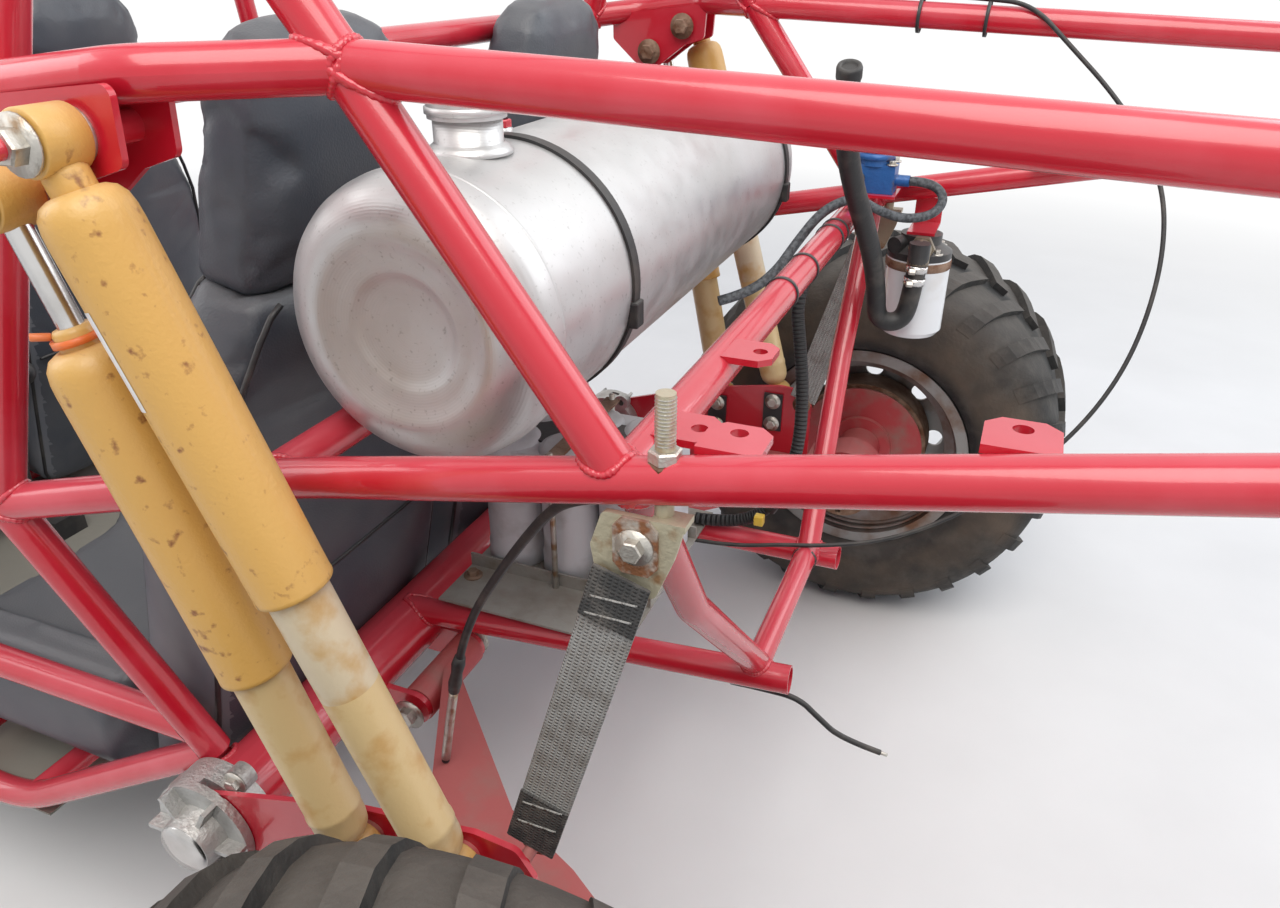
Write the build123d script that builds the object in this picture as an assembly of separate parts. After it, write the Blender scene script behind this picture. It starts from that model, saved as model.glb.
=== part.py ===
"""Four-seat dune buggy with a welded tube frame, torsion-bar rear end and twin-tube front beam.

Lengths are in millimetres: +X forward, +Y left, +Z up.
The frame drawing has x = 0 at the upper rear node and z = 0 on the jig table.
At the end everything is shifted so that the origin is on the ground at the middle of the car.
"""
from build123d import *
import os
from math import cos, radians, sin, tan

# Clearances
WELD_GAP = 0.3          # between coped tubes, so that each tube stays its own solid
RUN_GAP = 0.1           # a shaft in its bore, on the radius
SEAT_GAP = 0.3          # a piece resting on another
MOVE_GAP = 5            # between pieces that turn past each other

# Tubes, bolts and plate
MAIN_TUBE = 34.9
BRACE_TUBE = 31.8
BEND_RADIUS = 150
PLATE = 5
BOLT_R = 6
SHOCK_BOLT_R = 7

# Frame nodes, left side, as (x, y, z) in the frame drawing
NODE_A = (0, 478.5, 1153)
NODE_B = (-194, 483.5, 891)
RAIL_END = (-1247, 486, 1104)
POST_KINK = (410, 535, 765)
TORSION_NODE = (296, 480, 446)
HOOP_TOP_Z = 1610
HOOP_TOP_Y = 480
HOOP_LEAN = 0.353
ROOF_MID = (1000, 462, 1640)
ROOF_FRONT = (1400, 450, 1612)
DASH_NODE = (1960, 452, 905)
WAIST_NODE = (1900, 520, 640)
MID_NODE = (1010, 600, 690)
HORN_ROOT = (255, 165, 430)
HORN_END = (-262, 140, 452)
HORN_CROSS_X = -219
HORN_BORE_R = 15.05
HORN_BORE_LENGTH = 60
FLOOR_Z = 250
FLOOR_Y = 500
FOOT_X = 2050
SEAT_BARS_X = [620, 800, 1400, 1680]

# Wheels
REAR_AXLE_X = -200
REAR_AXLE_Z = 360
REAR_RIM_INNER_Y = 671
REAR_RIM_WIDTH = 305
REAR_TYRE_WIDTH = 370
REAR_TYRE_R = 372
REAR_FACE = -60         # wheel disc from the middle of the rim
FRONT_AXLE_X = 2700
FRONT_WHEEL_Y = 830
FRONT_RIM_WIDTH = 127
FRONT_TYRE_WIDTH = 170
FRONT_TYRE_R = 330
FRONT_FACE = -10
BEAD_R = 190.5
FLANGE_R = 206.5
TYRE_WALL = 14
RIM_WALL = 5
RIM_HOLES = 8
RIM_HOLE_R = 17

# Front end
KINGPIN_Y = 700
KINGPIN_R = 11
BEAM_AHEAD = 160
BEAM_SPREAD = 136
BEAM_TUBE = 60
BEAM_HALF = 580
STEER_ARM = 120
RACK_Z = 300
NOSE_BACK = 60          # nose frame behind the front axle
BUMPER_AHEAD = 60       # bumper in front of the front tyres
BUMPER_HALF = 260

# Torsion housing and rear arms
HOUSING_X = 262
HOUSING_Z = 404
HOUSING_R = 42
HOUSING_HALF = 500
COVER_R = 58
COVER_DEPTH = 44
BAR_R = 16
ARM_PIVOT = (180, 215, 376)
PIVOT_R = 24
PIVOT_HALF = 60
LUG_THICK = 8
ARM_LOW_Z = 345
ARM_HIGH_Z = 400
CARRIER_Y = 560
CARRIER_HALF = 34
CARRIER_R = 62
AXLE_R = 20
FLANGE_PCD = 94
FLANGE_HOLE_R = 5
DRIVE_FLANGE_R = 56
DRUM_R = 124
DRUM_DEPTH = 60
BACKING_R = 118
SHOCK_PLATE_Y = 527

# Rear shocks
SHOCK_SLEEVE_R = 30
SHOCK_TUBE_R = 24
EYE_R = 21
EYE_HALF = 18
SHOCK_TOP_Y = 602
SHOCK_LOW_Y = 556
# Left rear shocks as x, z of the top eye, x, z of the low eye, sleeve start and end along the length
REAR_SHOCKS = [
    (130, 1118, -60, 505, 0.05, 0.52),
    (186, 1079, 45, 485, 0.17, 0.64),
]

# Limit straps
STRAP_WIDTH = 46
STRAP_THICK = 5
STRAP_TOP = (-200, 503.2, 812)
STRAP_LOW = (-116, 512, 519)

# Fuel tank
TANK_X = 30
TANK_Z = 942
TANK_R = 127
TANK_LENGTH = 838
NECK_Y = 288
NECK_R = 30
NECK_TOP = 26
CAP_R = 34
CAP_HEIGHT = 20
BANDS_Y = [222, -345]
BAND_WIDTH = 14
BAND_THICK = 3
TANK_CROSS_GAP = 7.4
TANK_CROSS_ANGLE = 49.8    # below the horizon, seen from the tank's axis

# Seats
SEAT_Y = 245
SEAT_PITCH = 900
SEAT_WIDTH = 430
SEAT_BACK_X = 290
SEAT_LEAN = 13
SEAT_BACK_LENGTH = 640
SEAT_HEAD_LENGTH = 240
SEAT_HEAD_WIDTH = 250
SEAT_CUSHION_LENGTH = 400

# Battery, oil filter, fuel pump
CELL_R = 41
CELL_PITCH = 84
BATTERY_X = 72
BATTERY_Y = -4
BATTERY_HEIGHT = 192
TRAY_Z = 461.3
TRAY_THICK = 3
FILTER_AT = (-287, -438)
FILTER_LOW_Z = 700
FILTER_R = 47
FILTER_HEIGHT = 118
PUMP_AT = (-212, -410)
PUMP_SIZE = 62

# Steering
COLUMN_TOP = (1760, 245, 815)
PINION_Y = 160
PINION_REACH = 80
SHAFT_R = 10
HUB_BACK = 20
WHEEL_R = 165
RACK_HALF = 190

LIFT = REAR_TYRE_R - REAR_AXLE_Z
FRONT_AXLE_Z = FRONT_TYRE_R - LIFT
NOSE_X = FRONT_AXLE_X + FRONT_TYRE_R + BUMPER_AHEAD
SHIFT_X = -(NOSE_X + RAIL_END[0] - MAIN_TUBE / 2) / 2
BEAM_X = FRONT_AXLE_X + BEAM_AHEAD
BEAM_HEIGHTS = [FRONT_AXLE_Z - BEAM_SPREAD / 2, FRONT_AXLE_Z + BEAM_SPREAD / 2]
LOWER_BEAM = (BEAM_X, 225, BEAM_HEIGHTS[0])
UPPER_BEAM = (BEAM_X, 225, BEAM_HEIGHTS[1])
RACK_X = FRONT_AXLE_X - STEER_ARM
NOSE_TOP = (FRONT_AXLE_X - NOSE_BACK, 232, 470)
NOSE_LOW = (FRONT_AXLE_X - NOSE_BACK, 247, 256)
REAR_WHEEL_Y = REAR_RIM_INNER_Y + REAR_RIM_WIDTH / 2
SEAT_BAR_Z = FLOOR_Z + 16
SEAT_BASE_Z = SEAT_BAR_Z + BRACE_TUBE / 2 + SEAT_GAP
tank_cross_reach = TANK_R + MAIN_TUBE / 2 + TANK_CROSS_GAP
TANK_CROSS = (TANK_X + tank_cross_reach * cos(radians(TANK_CROSS_ANGLE)), 487,
              TANK_Z - tank_cross_reach * sin(radians(TANK_CROSS_ANGLE)))
ACROSS = (0, 1, 0)
UP = (0, 0, 1)


# Shapes that many pieces share

def flip(point):
    """The same point on the right side of the car."""
    return (point[0], -point[1], point[2])


def tube(points, diameter, bend=BEND_RADIUS):
    """A round bar along straight runs joined by bends."""
    if len(points) == 2:
        line = Vector(*points[1]) - Vector(*points[0])
        return Solid.make_cylinder(diameter / 2, line.length, Plane(origin=points[0], z_dir=line))
    path = FilletPolyline(*points, radius=bend)
    start = Plane(origin=path @ 0, z_dir=path % 0)
    return sweep(start * Circle(diameter / 2), path=path)


def stretched(points, extra):
    """The same run of points with both ends moved outwards."""
    first = Vector(*points[0]) + (Vector(*points[0]) - Vector(*points[1])).normalized() * extra
    last = Vector(*points[-1]) + (Vector(*points[-1]) - Vector(*points[-2])).normalized() * extra
    return [tuple(first), *points[1:-1], tuple(last)]


def turned(outline, at, along):
    """Revolve (radius, height) points about a line through a point."""
    section = Plane.XZ * make_face(Polyline(*outline, close=True))
    return Plane(origin=at, z_dir=along) * revolve(section, Axis.Z)


def block(low, high):
    """A box between two corners."""
    size = [b - a for a, b in zip(low, high)]
    centre = [(a + b) / 2 for a, b in zip(low, high)]
    return Pos(*centre) * Box(*size)


def disc(at, along, radius, thickness):
    """A round plate that starts at a point and grows along a direction."""
    return Solid.make_cylinder(radius, thickness, Plane(origin=at, z_dir=along))


def crossbolt(x, y0, y1, z, radius):
    """A round bar across the car."""
    return disc((x, y0, z), ACROSS, radius, y1 - y0)


def outline_face(points, corner=0):
    """A flat face through points, its corners rounded where a radius is given."""
    face = make_face(Polyline(*points, close=True))
    return fillet(face.vertices(), corner) if corner else face


def upright(points, y, thickness, corner=0):
    """A vertical plate along the car from (x, z) points, growing outwards from y."""
    plane = Plane(origin=(0, y + thickness, 0), x_dir=(1, 0, 0), z_dir=(0, -1, 0))
    return extrude(plane * outline_face(points, corner), thickness)


def level(points, z, thickness, corner=0):
    """A flat plate from (x, y) points, growing upwards from z."""
    return extrude(Pos(0, 0, z) * outline_face(points, corner), thickness)


def largest(shape):
    """The biggest solid of a cut shape."""
    return max(shape.solids(), key=lambda solid: solid.volume)


def mirrored(shape):
    return mirror(shape, about=Plane.XZ)


def sided(shape, side):
    """A left-hand piece as it is on one side of the car."""
    return shape if side > 0 else mirrored(shape)


def on_hoop(z):
    """The point of the left hoop leg at a height."""
    share = (z - POST_KINK[2]) / (HOOP_TOP_Z - POST_KINK[2])
    x = POST_KINK[0] - HOOP_LEAN * (z - POST_KINK[2])
    y = POST_KINK[1] + share * (HOOP_TOP_Y - POST_KINK[1])
    return (x, y, z)


def between(start, end, share):
    """A point part of the way along a line."""
    return tuple(a + share * (b - a) for a, b in zip(start, end))


def near(first, second):
    """Whether the boxes of two shapes meet."""
    a = first.bounding_box()
    b = second.bounding_box()
    return all(low <= high for low, high in (
        (a.min.X, b.max.X), (b.min.X, a.max.X), (a.min.Y, b.max.Y),
        (b.min.Y, a.max.Y), (a.min.Z, b.max.Z), (b.min.Z, a.max.Z)))


SIDES = ((1, "left"), (-1, "right"))
nodes = {}
cutters = []


def weld_in(node, shape, cutter=None):
    """Cope a frame piece to the tubes before it and add it to its node."""
    for other in cutters:
        if near(shape, other):
            shape = largest(shape - other)
    nodes.setdefault(node, []).append(shape)
    if cutter is not None:
        cutters.append(cutter)


# Frame

hoop_top = on_hoop(HOOP_TOP_Z)
ROOF_REAR = (hoop_top[0] + 40, 455, HOOP_TOP_Z - 8)
HANGER_RAIL = [(105, 556, 1152), (215, 560, 1139)]
CURVED_POST = [(-205, 483, 890), (-203, 343, 685), (HORN_CROSS_X, 133, 459)]
BUMPER_X = NOSE_X - BRACE_TUBE / 2

# Tubes of the left side, each coped by those above it: name, node, diameter, bend, points
LEFT_TUBES = [
    ("side_rail", "side_frame", MAIN_TUBE, 500, [RAIL_END, (100, 487, 832), POST_KINK]),
    ("low_brace", "side_frame", MAIN_TUBE, 0, [NODE_B, NODE_A]),
    ("high_brace", "side_frame", MAIN_TUBE, 0, [NODE_A, on_hoop(1412)]),
    ("top_rail", "side_frame", MAIN_TUBE, 0, [RAIL_END, NODE_A]),
    ("shock_rail", "side_frame", MAIN_TUBE, 60, [NODE_A, *HANGER_RAIL, on_hoop(1130)]),
    ("low_post", "side_frame", MAIN_TUBE, 0, [POST_KINK, TORSION_NODE]),
    ("floor_rail", "lower_frame", MAIN_TUBE, 200, [TORSION_NODE, (640, FLOOR_Y, FLOOR_Z),
                                                 (FOOT_X, FLOOR_Y, FLOOR_Z), LOWER_BEAM]),
    ("door_rail", "cockpit_frame", MAIN_TUBE, 300, [POST_KINK, MID_NODE, WAIST_NODE]),
    ("waist_rail", "cockpit_frame", MAIN_TUBE, 0, [WAIST_NODE, UPPER_BEAM]),
    ("roof_rail", "cockpit_frame", MAIN_TUBE, 0, [ROOF_REAR, ROOF_MID]),
    ("screen_post", "cockpit_frame", MAIN_TUBE, 180, [ROOF_MID, ROOF_FRONT, DASH_NODE]),
    ("nose_rail", "cockpit_frame", MAIN_TUBE, 0, [DASH_NODE, NOSE_TOP]),
    ("mid_post", "cockpit_frame", MAIN_TUBE, 0, [MID_NODE, (MID_NODE[0], ROOF_MID[1], ROOF_MID[2])]),
    ("mid_leg", "cockpit_frame", MAIN_TUBE, 0, [(MID_NODE[0], FLOOR_Y, FLOOR_Z), MID_NODE]),
    ("mid_rail", "cockpit_frame", MAIN_TUBE, 0, [between(TORSION_NODE, POST_KINK, 0.1),
                                              (MID_NODE[0], 520, 520)]),
    ("dash_post", "cockpit_frame", MAIN_TUBE, 0, [WAIST_NODE, DASH_NODE]),
    ("foot_post", "cockpit_frame", MAIN_TUBE, 0, [(WAIST_NODE[0], FLOOR_Y, FLOOR_Z), WAIST_NODE]),
    ("nose_post", "nose_frame", BRACE_TUBE, 0, [NOSE_TOP, NOSE_LOW]),
    ("horn", "rear_cage", MAIN_TUBE, 0, [HORN_ROOT, HORN_END]),
    ("curved_post", "rear_cage", BRACE_TUBE, 110, CURVED_POST),
]

# Tubes across the car: name, node, diameter, bend, points
CROSS_TUBES = [
    ("hoop", "main_hoop", MAIN_TUBE, BEND_RADIUS, [POST_KINK, hoop_top, flip(hoop_top),
                                                 flip(POST_KINK)]),
    ("tail_bar", "rear_cage", MAIN_TUBE, 0, [RAIL_END, flip(RAIL_END)]),
    ("upper_cross", "rear_cage", MAIN_TUBE, 0, [NODE_B, flip(NODE_B)]),
    ("tank_cross", "rear_cage", MAIN_TUBE, 0, [TANK_CROSS, flip(TANK_CROSS)]),
    ("horn_cross", "rear_cage", BRACE_TUBE, 0, [CURVED_POST[-1], flip(CURVED_POST[-1])]),
    ("harness_bar", "main_hoop", BRACE_TUBE, 0, [on_hoop(1130), flip(on_hoop(1130))]),
    ("mid_harness_bar", "cockpit_frame", BRACE_TUBE, 0, [(MID_NODE[0], 555, 1000),
                                                       (MID_NODE[0], -555, 1000)]),
    ("roof_mid", "cockpit_frame", MAIN_TUBE, 0, [ROOF_MID, flip(ROOF_MID)]),
    ("roof_front", "cockpit_frame", MAIN_TUBE, 0, [ROOF_FRONT, flip(ROOF_FRONT)]),
    ("dash_bar", "cockpit_frame", MAIN_TUBE, 0, [DASH_NODE, flip(DASH_NODE)]),
    ("nose_bar", "nose_frame", BRACE_TUBE, 0, [NOSE_TOP, flip(NOSE_TOP)]),
    ("foot_bar", "lower_frame", BRACE_TUBE, 0, [(FOOT_X, FLOOR_Y, FLOOR_Z), (FOOT_X, -FLOOR_Y, FLOOR_Z)]),
    ("rack_cross", "nose_frame", BRACE_TUBE, 0, [(RACK_X, 320, FLOOR_Z), (RACK_X, -320, FLOOR_Z)]),
    ("nose_low_bar", "nose_frame", BRACE_TUBE, 0, [NOSE_LOW, flip(NOSE_LOW)]),
    ("bumper", "nose_frame", BRACE_TUBE, 90, [UPPER_BEAM, (BUMPER_X, BUMPER_HALF, 420),
                                            (BUMPER_X, -BUMPER_HALF, 420), flip(UPPER_BEAM)]),
]

# Two bars carry each row of seats
for x in SEAT_BARS_X:
    ends = [(x, FLOOR_Y, SEAT_BAR_Z), (x, -FLOOR_Y, SEAT_BAR_Z)]
    CROSS_TUBES.append(("seat_bar", "lower_frame", BRACE_TUBE, 0, ends))

# The main hoop comes first: everything else is coped to it
tubes = [CROSS_TUBES[0]]
for name, node, diameter, bend, points in LEFT_TUBES:
    for side, label in SIDES:
        own = node + "_" + label if node == "side_frame" else node
        tubes.append((name, own, diameter, bend, points if side > 0 else [flip(p) for p in points]))
tubes += CROSS_TUBES[1:]

# The torsion housing and the front beam are heavier than the tubes that meet them
for height in BEAM_HEIGHTS:
    cutters.append(crossbolt(BEAM_X, -BEAM_HALF, BEAM_HALF, height, BEAM_TUBE / 2 + WELD_GAP))
cutters.append(crossbolt(HOUSING_X, -HOUSING_HALF, HOUSING_HALF, HOUSING_Z, HOUSING_R + WELD_GAP))

for name, node, diameter, bend, points in tubes:
    weld_in(node, tube(points, diameter, bend), tube(points, diameter + 2 * WELD_GAP, bend))

# The frame horns are open tubes at the rear
for side, label in SIDES:
    end = Vector(HORN_END[0], side * HORN_END[1], HORN_END[2])
    root = Vector(HORN_ROOT[0], side * HORN_ROOT[1], HORN_ROOT[2])
    bore = disc(end, root - end, HORN_BORE_R, HORN_BORE_LENGTH)
    pieces = nodes["rear_cage"]
    for index, piece in enumerate(pieces):
        if near(piece, bore) and (piece & bore):
            pieces[index] = largest(piece - bore)

# Tabs with a vertical hole on the side rails and on the upper cross tube
TAB_THICK = 6
TAB_HOLE_R = 6.5
TAB_LENGTH = 46
TAB_WIDTH = 44
TAB_CORNER = 10
TAB_HOLE_OUT = 8
# Tab places: x, y, z, which way it sticks out, turn
TABS = [
    (-268, 455, 920.5, -1, 0), (-447, 455, 956.6, -1, 0),
    (-268, -455, 920.5, 1, 0), (-447, -455, 956.6, 1, 0),
    (-222, 255, 905, 1, 90), (-222, 420, 905, 1, 90),
]
for x, y, z, outward, turn in TABS:
    plate = Box(TAB_LENGTH, TAB_WIDTH, TAB_THICK)
    plate = chamfer(plate.edges().filter_by(Axis.Z).group_by(Axis.Y)[-1], TAB_CORNER)
    plate -= Pos(0, TAB_HOLE_OUT, 0) * Cylinder(TAB_HOLE_R, 3 * TAB_THICK)
    on_cross = turn != 0
    node = "rear_cage" if on_cross else "side_frame_left" if y > 0 else "side_frame_right"
    weld_in(node, Pos(x, y, z) * Rot(0, 0, turn if outward > 0 else turn + 180) * plate)

# Floor, dash, pedals and gear lever
PAN_THICK = 3
DASH_THICK = 4
DASH_HALF = 420
DASH_DEPTH = 130
pan_outline = [(610, 0), (610, FLOOR_Y), (FOOT_X, FLOOR_Y), (RACK_X + 20, 312), (RACK_X + 20, 0)]
pan_outline += [(x, -y) for x, y in reversed(pan_outline[1:-1])]
pan_z = FLOOR_Z - MAIN_TUBE / 2 - PAN_THICK - SEAT_GAP
nodes["floor_pan"] = [level(pan_outline, pan_z, PAN_THICK)]
dash_top = DASH_NODE[2] - MAIN_TUBE / 2 - SEAT_GAP
dash = block((DASH_NODE[0] - DASH_THICK, -DASH_HALF, dash_top - DASH_DEPTH),
             (DASH_NODE[0], DASH_HALF, dash_top))
nodes["dash_panel"] = [fillet(dash.edges().filter_by(Axis.X), 25)]

PEDAL_X = 2240
PEDAL_ROD_R = 6
floor_top = pan_z + PAN_THICK + SEAT_GAP
pedals = []
for y in (170, 245, 320):
    rod = tube([(PEDAL_X, y, floor_top + 4), (PEDAL_X - 30, y, floor_top + 110), (PEDAL_X + 10, y, floor_top + 190)],
               2 * PEDAL_ROD_R, 40)
    pad = Pos(PEDAL_X + 8, y, floor_top + 196) * Rot(0, -35, 0) * Box(8, 56, 70)
    foot = block((PEDAL_X - 25, y - 22, floor_top), (PEDAL_X + 25, y + 22, floor_top + 8))
    pedals.append(rod + pad + foot)
nodes["pedals"] = pedals

LEVER_X = 1250
lever = block((LEVER_X - 90, -30, floor_top), (LEVER_X + 60, 30, floor_top + 40))
lever += tube([(LEVER_X, 0, floor_top + 30), (LEVER_X - 20, 0, floor_top + 250), (LEVER_X - 90, 0, floor_top + 330)],
              14, 80)
lever += Pos(LEVER_X - 90, 0, floor_top + 335) * Sphere(22)
nodes["gear_lever"] = [lever]

# Fuel tank: a spun drum with dished ends and a filler neck
half = TANK_LENGTH / 2
tank_end = [(0, half - 12), (62, half - 2), (84, half), (116, half - 22), (TANK_R, half - 44)]
tank_outline = [(r, -y) for r, y in tank_end] + tank_end[::-1]
tank = turned(tank_outline, (TANK_X, 0, TANK_Z), ACROSS)
tank += disc((TANK_X, NECK_Y, TANK_Z + TANK_R / 2), UP, NECK_R, TANK_R / 2 + NECK_TOP)
nodes["fuel_tank"] = [tank]
cap_z = TANK_Z + TANK_R + NECK_TOP + SEAT_GAP
cap = disc((TANK_X, NECK_Y, cap_z), UP, CAP_R, CAP_HEIGHT)
nodes["filler_cap"] = [fillet(cap.edges().group_by(Axis.Z)[-1], 5)]
band_in = TANK_R + SEAT_GAP
band_out = TANK_R + BAND_THICK
band_outline = [(band_in, -BAND_WIDTH / 2), (band_out, -BAND_WIDTH / 2),
                (band_out, BAND_WIDTH / 2), (band_in, BAND_WIDTH / 2)]
nodes["tank_bands"] = [turned(band_outline, (TANK_X, y, TANK_Z), ACROSS) for y in BANDS_Y]

# Saddle plates hang the tank from the cross tube, one beside each band
SADDLE_Y = 300
SADDLE_THICK = 6
SADDLE_BACK = 70
for side, label in SIDES:
    y0 = side * SADDLE_Y - SADDLE_THICK / 2
    saddle = upright([(TANK_X - SADDLE_BACK, TANK_Z - 0.79 * TANK_R), (TANK_X - SADDLE_BACK, TANK_Z - TANK_R + 1),
                      (TANK_CROSS[0] - 10, TANK_CROSS[2] - 8), (TANK_CROSS[0] + 8, TANK_CROSS[2] + 40),
                      (TANK_X + 0.85 * TANK_R, TANK_Z - 0.47 * TANK_R)], y0, SADDLE_THICK)
    saddle -= crossbolt(TANK_X, y0 - 5, y0 + SADDLE_THICK + 5, TANK_Z, TANK_R + SEAT_GAP)
    weld_in("rear_cage", largest(saddle))

# Torsion housing with a pair of lugs for each rear arm
housing = crossbolt(HOUSING_X, -HOUSING_HALF, HOUSING_HALF, HOUSING_Z, HOUSING_R)
px, py, pz = ARM_PIVOT
for side, label in SIDES:
    for y in (py - PIVOT_HALF - SEAT_GAP - LUG_THICK, py + PIVOT_HALF + SEAT_GAP):
        low = min(side * y, side * (y + LUG_THICK))
        housing += block((px, low, pz - 22), (HOUSING_X, low + LUG_THICK, pz + 22))
        housing += crossbolt(px, low, low + LUG_THICK, pz, 22)
    bolt_half = PIVOT_HALF + LUG_THICK + 10
    housing += crossbolt(px, side * py - bolt_half, side * py + bolt_half, pz, SHOCK_BOLT_R)
    end = side * HOUSING_HALF
    housing += disc((HOUSING_X, end, HOUSING_Z), (0, side, 0), BAR_R, COVER_DEPTH - 10)
nodes["torsion_housing"] = [housing]

# Cast covers with a ribbed face, a slot for the spring plate and a round snout
COVER_RIBS = 6
PLATE_SLOT = 7
for side, label in SIDES:
    y0 = HOUSING_HALF + SEAT_GAP
    at = (HOUSING_X, y0, HOUSING_Z)
    cover = turned([(0, 0), (COVER_R, 0), (COVER_R, COVER_DEPTH), (34, COVER_DEPTH), (30, COVER_DEPTH + 26),
                    (0, COVER_DEPTH + 26)], at, ACROSS)
    for index in range(COVER_RIBS):
        rib = Pos(COVER_R / 2 + 8, 0, 0) * Box(COVER_R - 16, 5, 22)
        place = Plane(origin=(HOUSING_X, y0 + COVER_DEPTH + 6, HOUSING_Z), z_dir=ACROSS)
        cover += place * (Rot(0, 0, 30 + 360 / COVER_RIBS * index) * rib)
    for angle in (0, 120, 240):
        ear = (HOUSING_X + (COVER_R + 4) * cos(radians(angle)), y0, HOUSING_Z + (COVER_R + 4) * sin(radians(angle)))
        cover += disc(ear, ACROSS, 14, 16)
        cover -= disc((ear[0], ear[1] - 5, ear[2]), ACROSS, BOLT_R, 40)
    cover -= disc((HOUSING_X, y0 - 1, HOUSING_Z), ACROSS, BAR_R + SEAT_GAP, COVER_DEPTH - 8)
    slot = block((HOUSING_X - 100, SHOCK_PLATE_Y - SEAT_GAP, HOUSING_Z - 80),
                 (HOUSING_X, SHOCK_PLATE_Y + PLATE_SLOT, HOUSING_Z + 80))
    slot += disc((HOUSING_X, SHOCK_PLATE_Y - SEAT_GAP, HOUSING_Z), ACROSS, 46, PLATE_SLOT + SEAT_GAP)
    weld_in("torsion_covers", sided(largest(cover - slot), side))


# Rear arms, spring plates and shocks

def damper(top, bottom, sleeve_start, sleeve_end, sleeve_r, tube_r, eye_r, eye_half):
    """A damper: thin rod, wide sleeve, narrower body and an eye at each end."""
    line = Vector(*bottom) - Vector(*top)
    length = line.length
    a = sleeve_start * length
    b = sleeve_end * length
    outline = [(0, 0), (9, 0), (9, a), (0.7 * sleeve_r, a + 2), (0.93 * sleeve_r, a + 9), (sleeve_r, a + 20),
               (sleeve_r, b), (tube_r, b), (tube_r, length - 40), (0.6 * tube_r, length - 24),
               (0.6 * tube_r, length), (0, length)]
    body = turned(outline, top, line)
    for x, y, z in (top, bottom):
        body += crossbolt(x, y - eye_half, y + eye_half, z, eye_r)
    for x, y, z in (top, bottom):
        body -= crossbolt(x, y - 60, y + 60, z, SHOCK_BOLT_R + SEAT_GAP)
    return body


axle = (REAR_AXLE_X, REAR_AXLE_Z)
carrier_in = CARRIER_Y - CARRIER_HALF
drum_face = REAR_WHEEL_Y + REAR_FACE - SEAT_GAP
backing_y = drum_face - DRUM_DEPTH - MOVE_GAP
plate_wall = SHOCK_PLATE_Y - SEAT_GAP
shock_inner = SHOCK_LOW_Y - EYE_HALF
SHOCK_PLATE_OUTLINE = [(262, 446), (66, 508), (-70, 532), (-112, 528), (-129, 500), (-129, 352),
                       (60, 352), (262, 362)]
ARM_PLAN = [(px - 10, py - 12), (px - 10, py + 12), (60, 430), (60, plate_wall), (-129, plate_wall),
            (-129, CARRIER_Y + 28), (-252, CARRIER_Y + 28), (-252, carrier_in), (-118, 440), (-24, 396)]
STRAP_BOLT = (-116, 512)

for side, label in SIDES:
    # A boxed arm of bent plate with a pivot tube at its front and the hub carrier at its rear
    arm = level(ARM_PLAN, ARM_LOW_Z, ARM_HIGH_Z - ARM_LOW_Z)
    arm += crossbolt(axle[0], carrier_in, CARRIER_Y + CARRIER_HALF, axle[1], CARRIER_R)
    arm += crossbolt(axle[0], carrier_in, backing_y, axle[1], 40)
    arm -= crossbolt(axle[0], 300, carrier_in, axle[1], DRIVE_FLANGE_R + MOVE_GAP)
    arm -= level([(40, 440), (40, plate_wall - PLATE), (-90, plate_wall - PLATE), (-90, 450)],
                 ARM_LOW_Z - 1, ARM_HIGH_Z - ARM_LOW_Z - PLATE)
    arm += crossbolt(px, py - PIVOT_HALF, py + PIVOT_HALF, pz, PIVOT_R)
    arm -= crossbolt(axle[0], 300, drum_face, axle[1], AXLE_R + RUN_GAP)
    arm -= crossbolt(px, py - 100, py + 100, pz, SHOCK_BOLT_R + SEAT_GAP)
    arm = largest(arm)

    # The spring plate lies against the arm and carries the shocks and the limit strap
    plate = upright(SHOCK_PLATE_OUTLINE, SHOCK_PLATE_Y, PLATE + 1, 12)
    plate += crossbolt(HOUSING_X, SHOCK_PLATE_Y, SHOCK_PLATE_Y + PLATE + 1, HOUSING_Z, 44)
    plate -= crossbolt(HOUSING_X, SHOCK_PLATE_Y - 5, SHOCK_PLATE_Y + 20, HOUSING_Z, BAR_R + SEAT_GAP)
    for top_x, top_z, x, z, start, end in REAR_SHOCKS:
        plate += crossbolt(x, SHOCK_PLATE_Y, SHOCK_LOW_Y + EYE_HALF + 16, z, SHOCK_BOLT_R)
        plate += crossbolt(x, SHOCK_PLATE_Y, shock_inner - SEAT_GAP, z, 15)
    plate += crossbolt(STRAP_BOLT[0], SHOCK_PLATE_Y - 22, SHOCK_PLATE_Y, STRAP_BOLT[1], BOLT_R)
    plate = largest(plate)

    # A brake backing plate closes the drum
    backing = turned([(40 + SEAT_GAP, -14), (60, -14), (60, -3), (BACKING_R, -3), (BACKING_R, 0), (40 + SEAT_GAP, 0)],
                     (axle[0], backing_y, axle[1]), ACROSS)
    nodes.setdefault("rear_arms", []).extend(sided(piece, side) for piece in (arm, plate, backing))

    dampers = [damper((tx, SHOCK_TOP_Y, tz), (x, SHOCK_LOW_Y, z), start, end, SHOCK_SLEEVE_R, SHOCK_TUBE_R,
                      EYE_R, EYE_HALF) for tx, tz, x, z, start, end in REAR_SHOCKS]
    nodes.setdefault("rear_shocks", []).extend(sided(piece, side) for piece in dampers)

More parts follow.
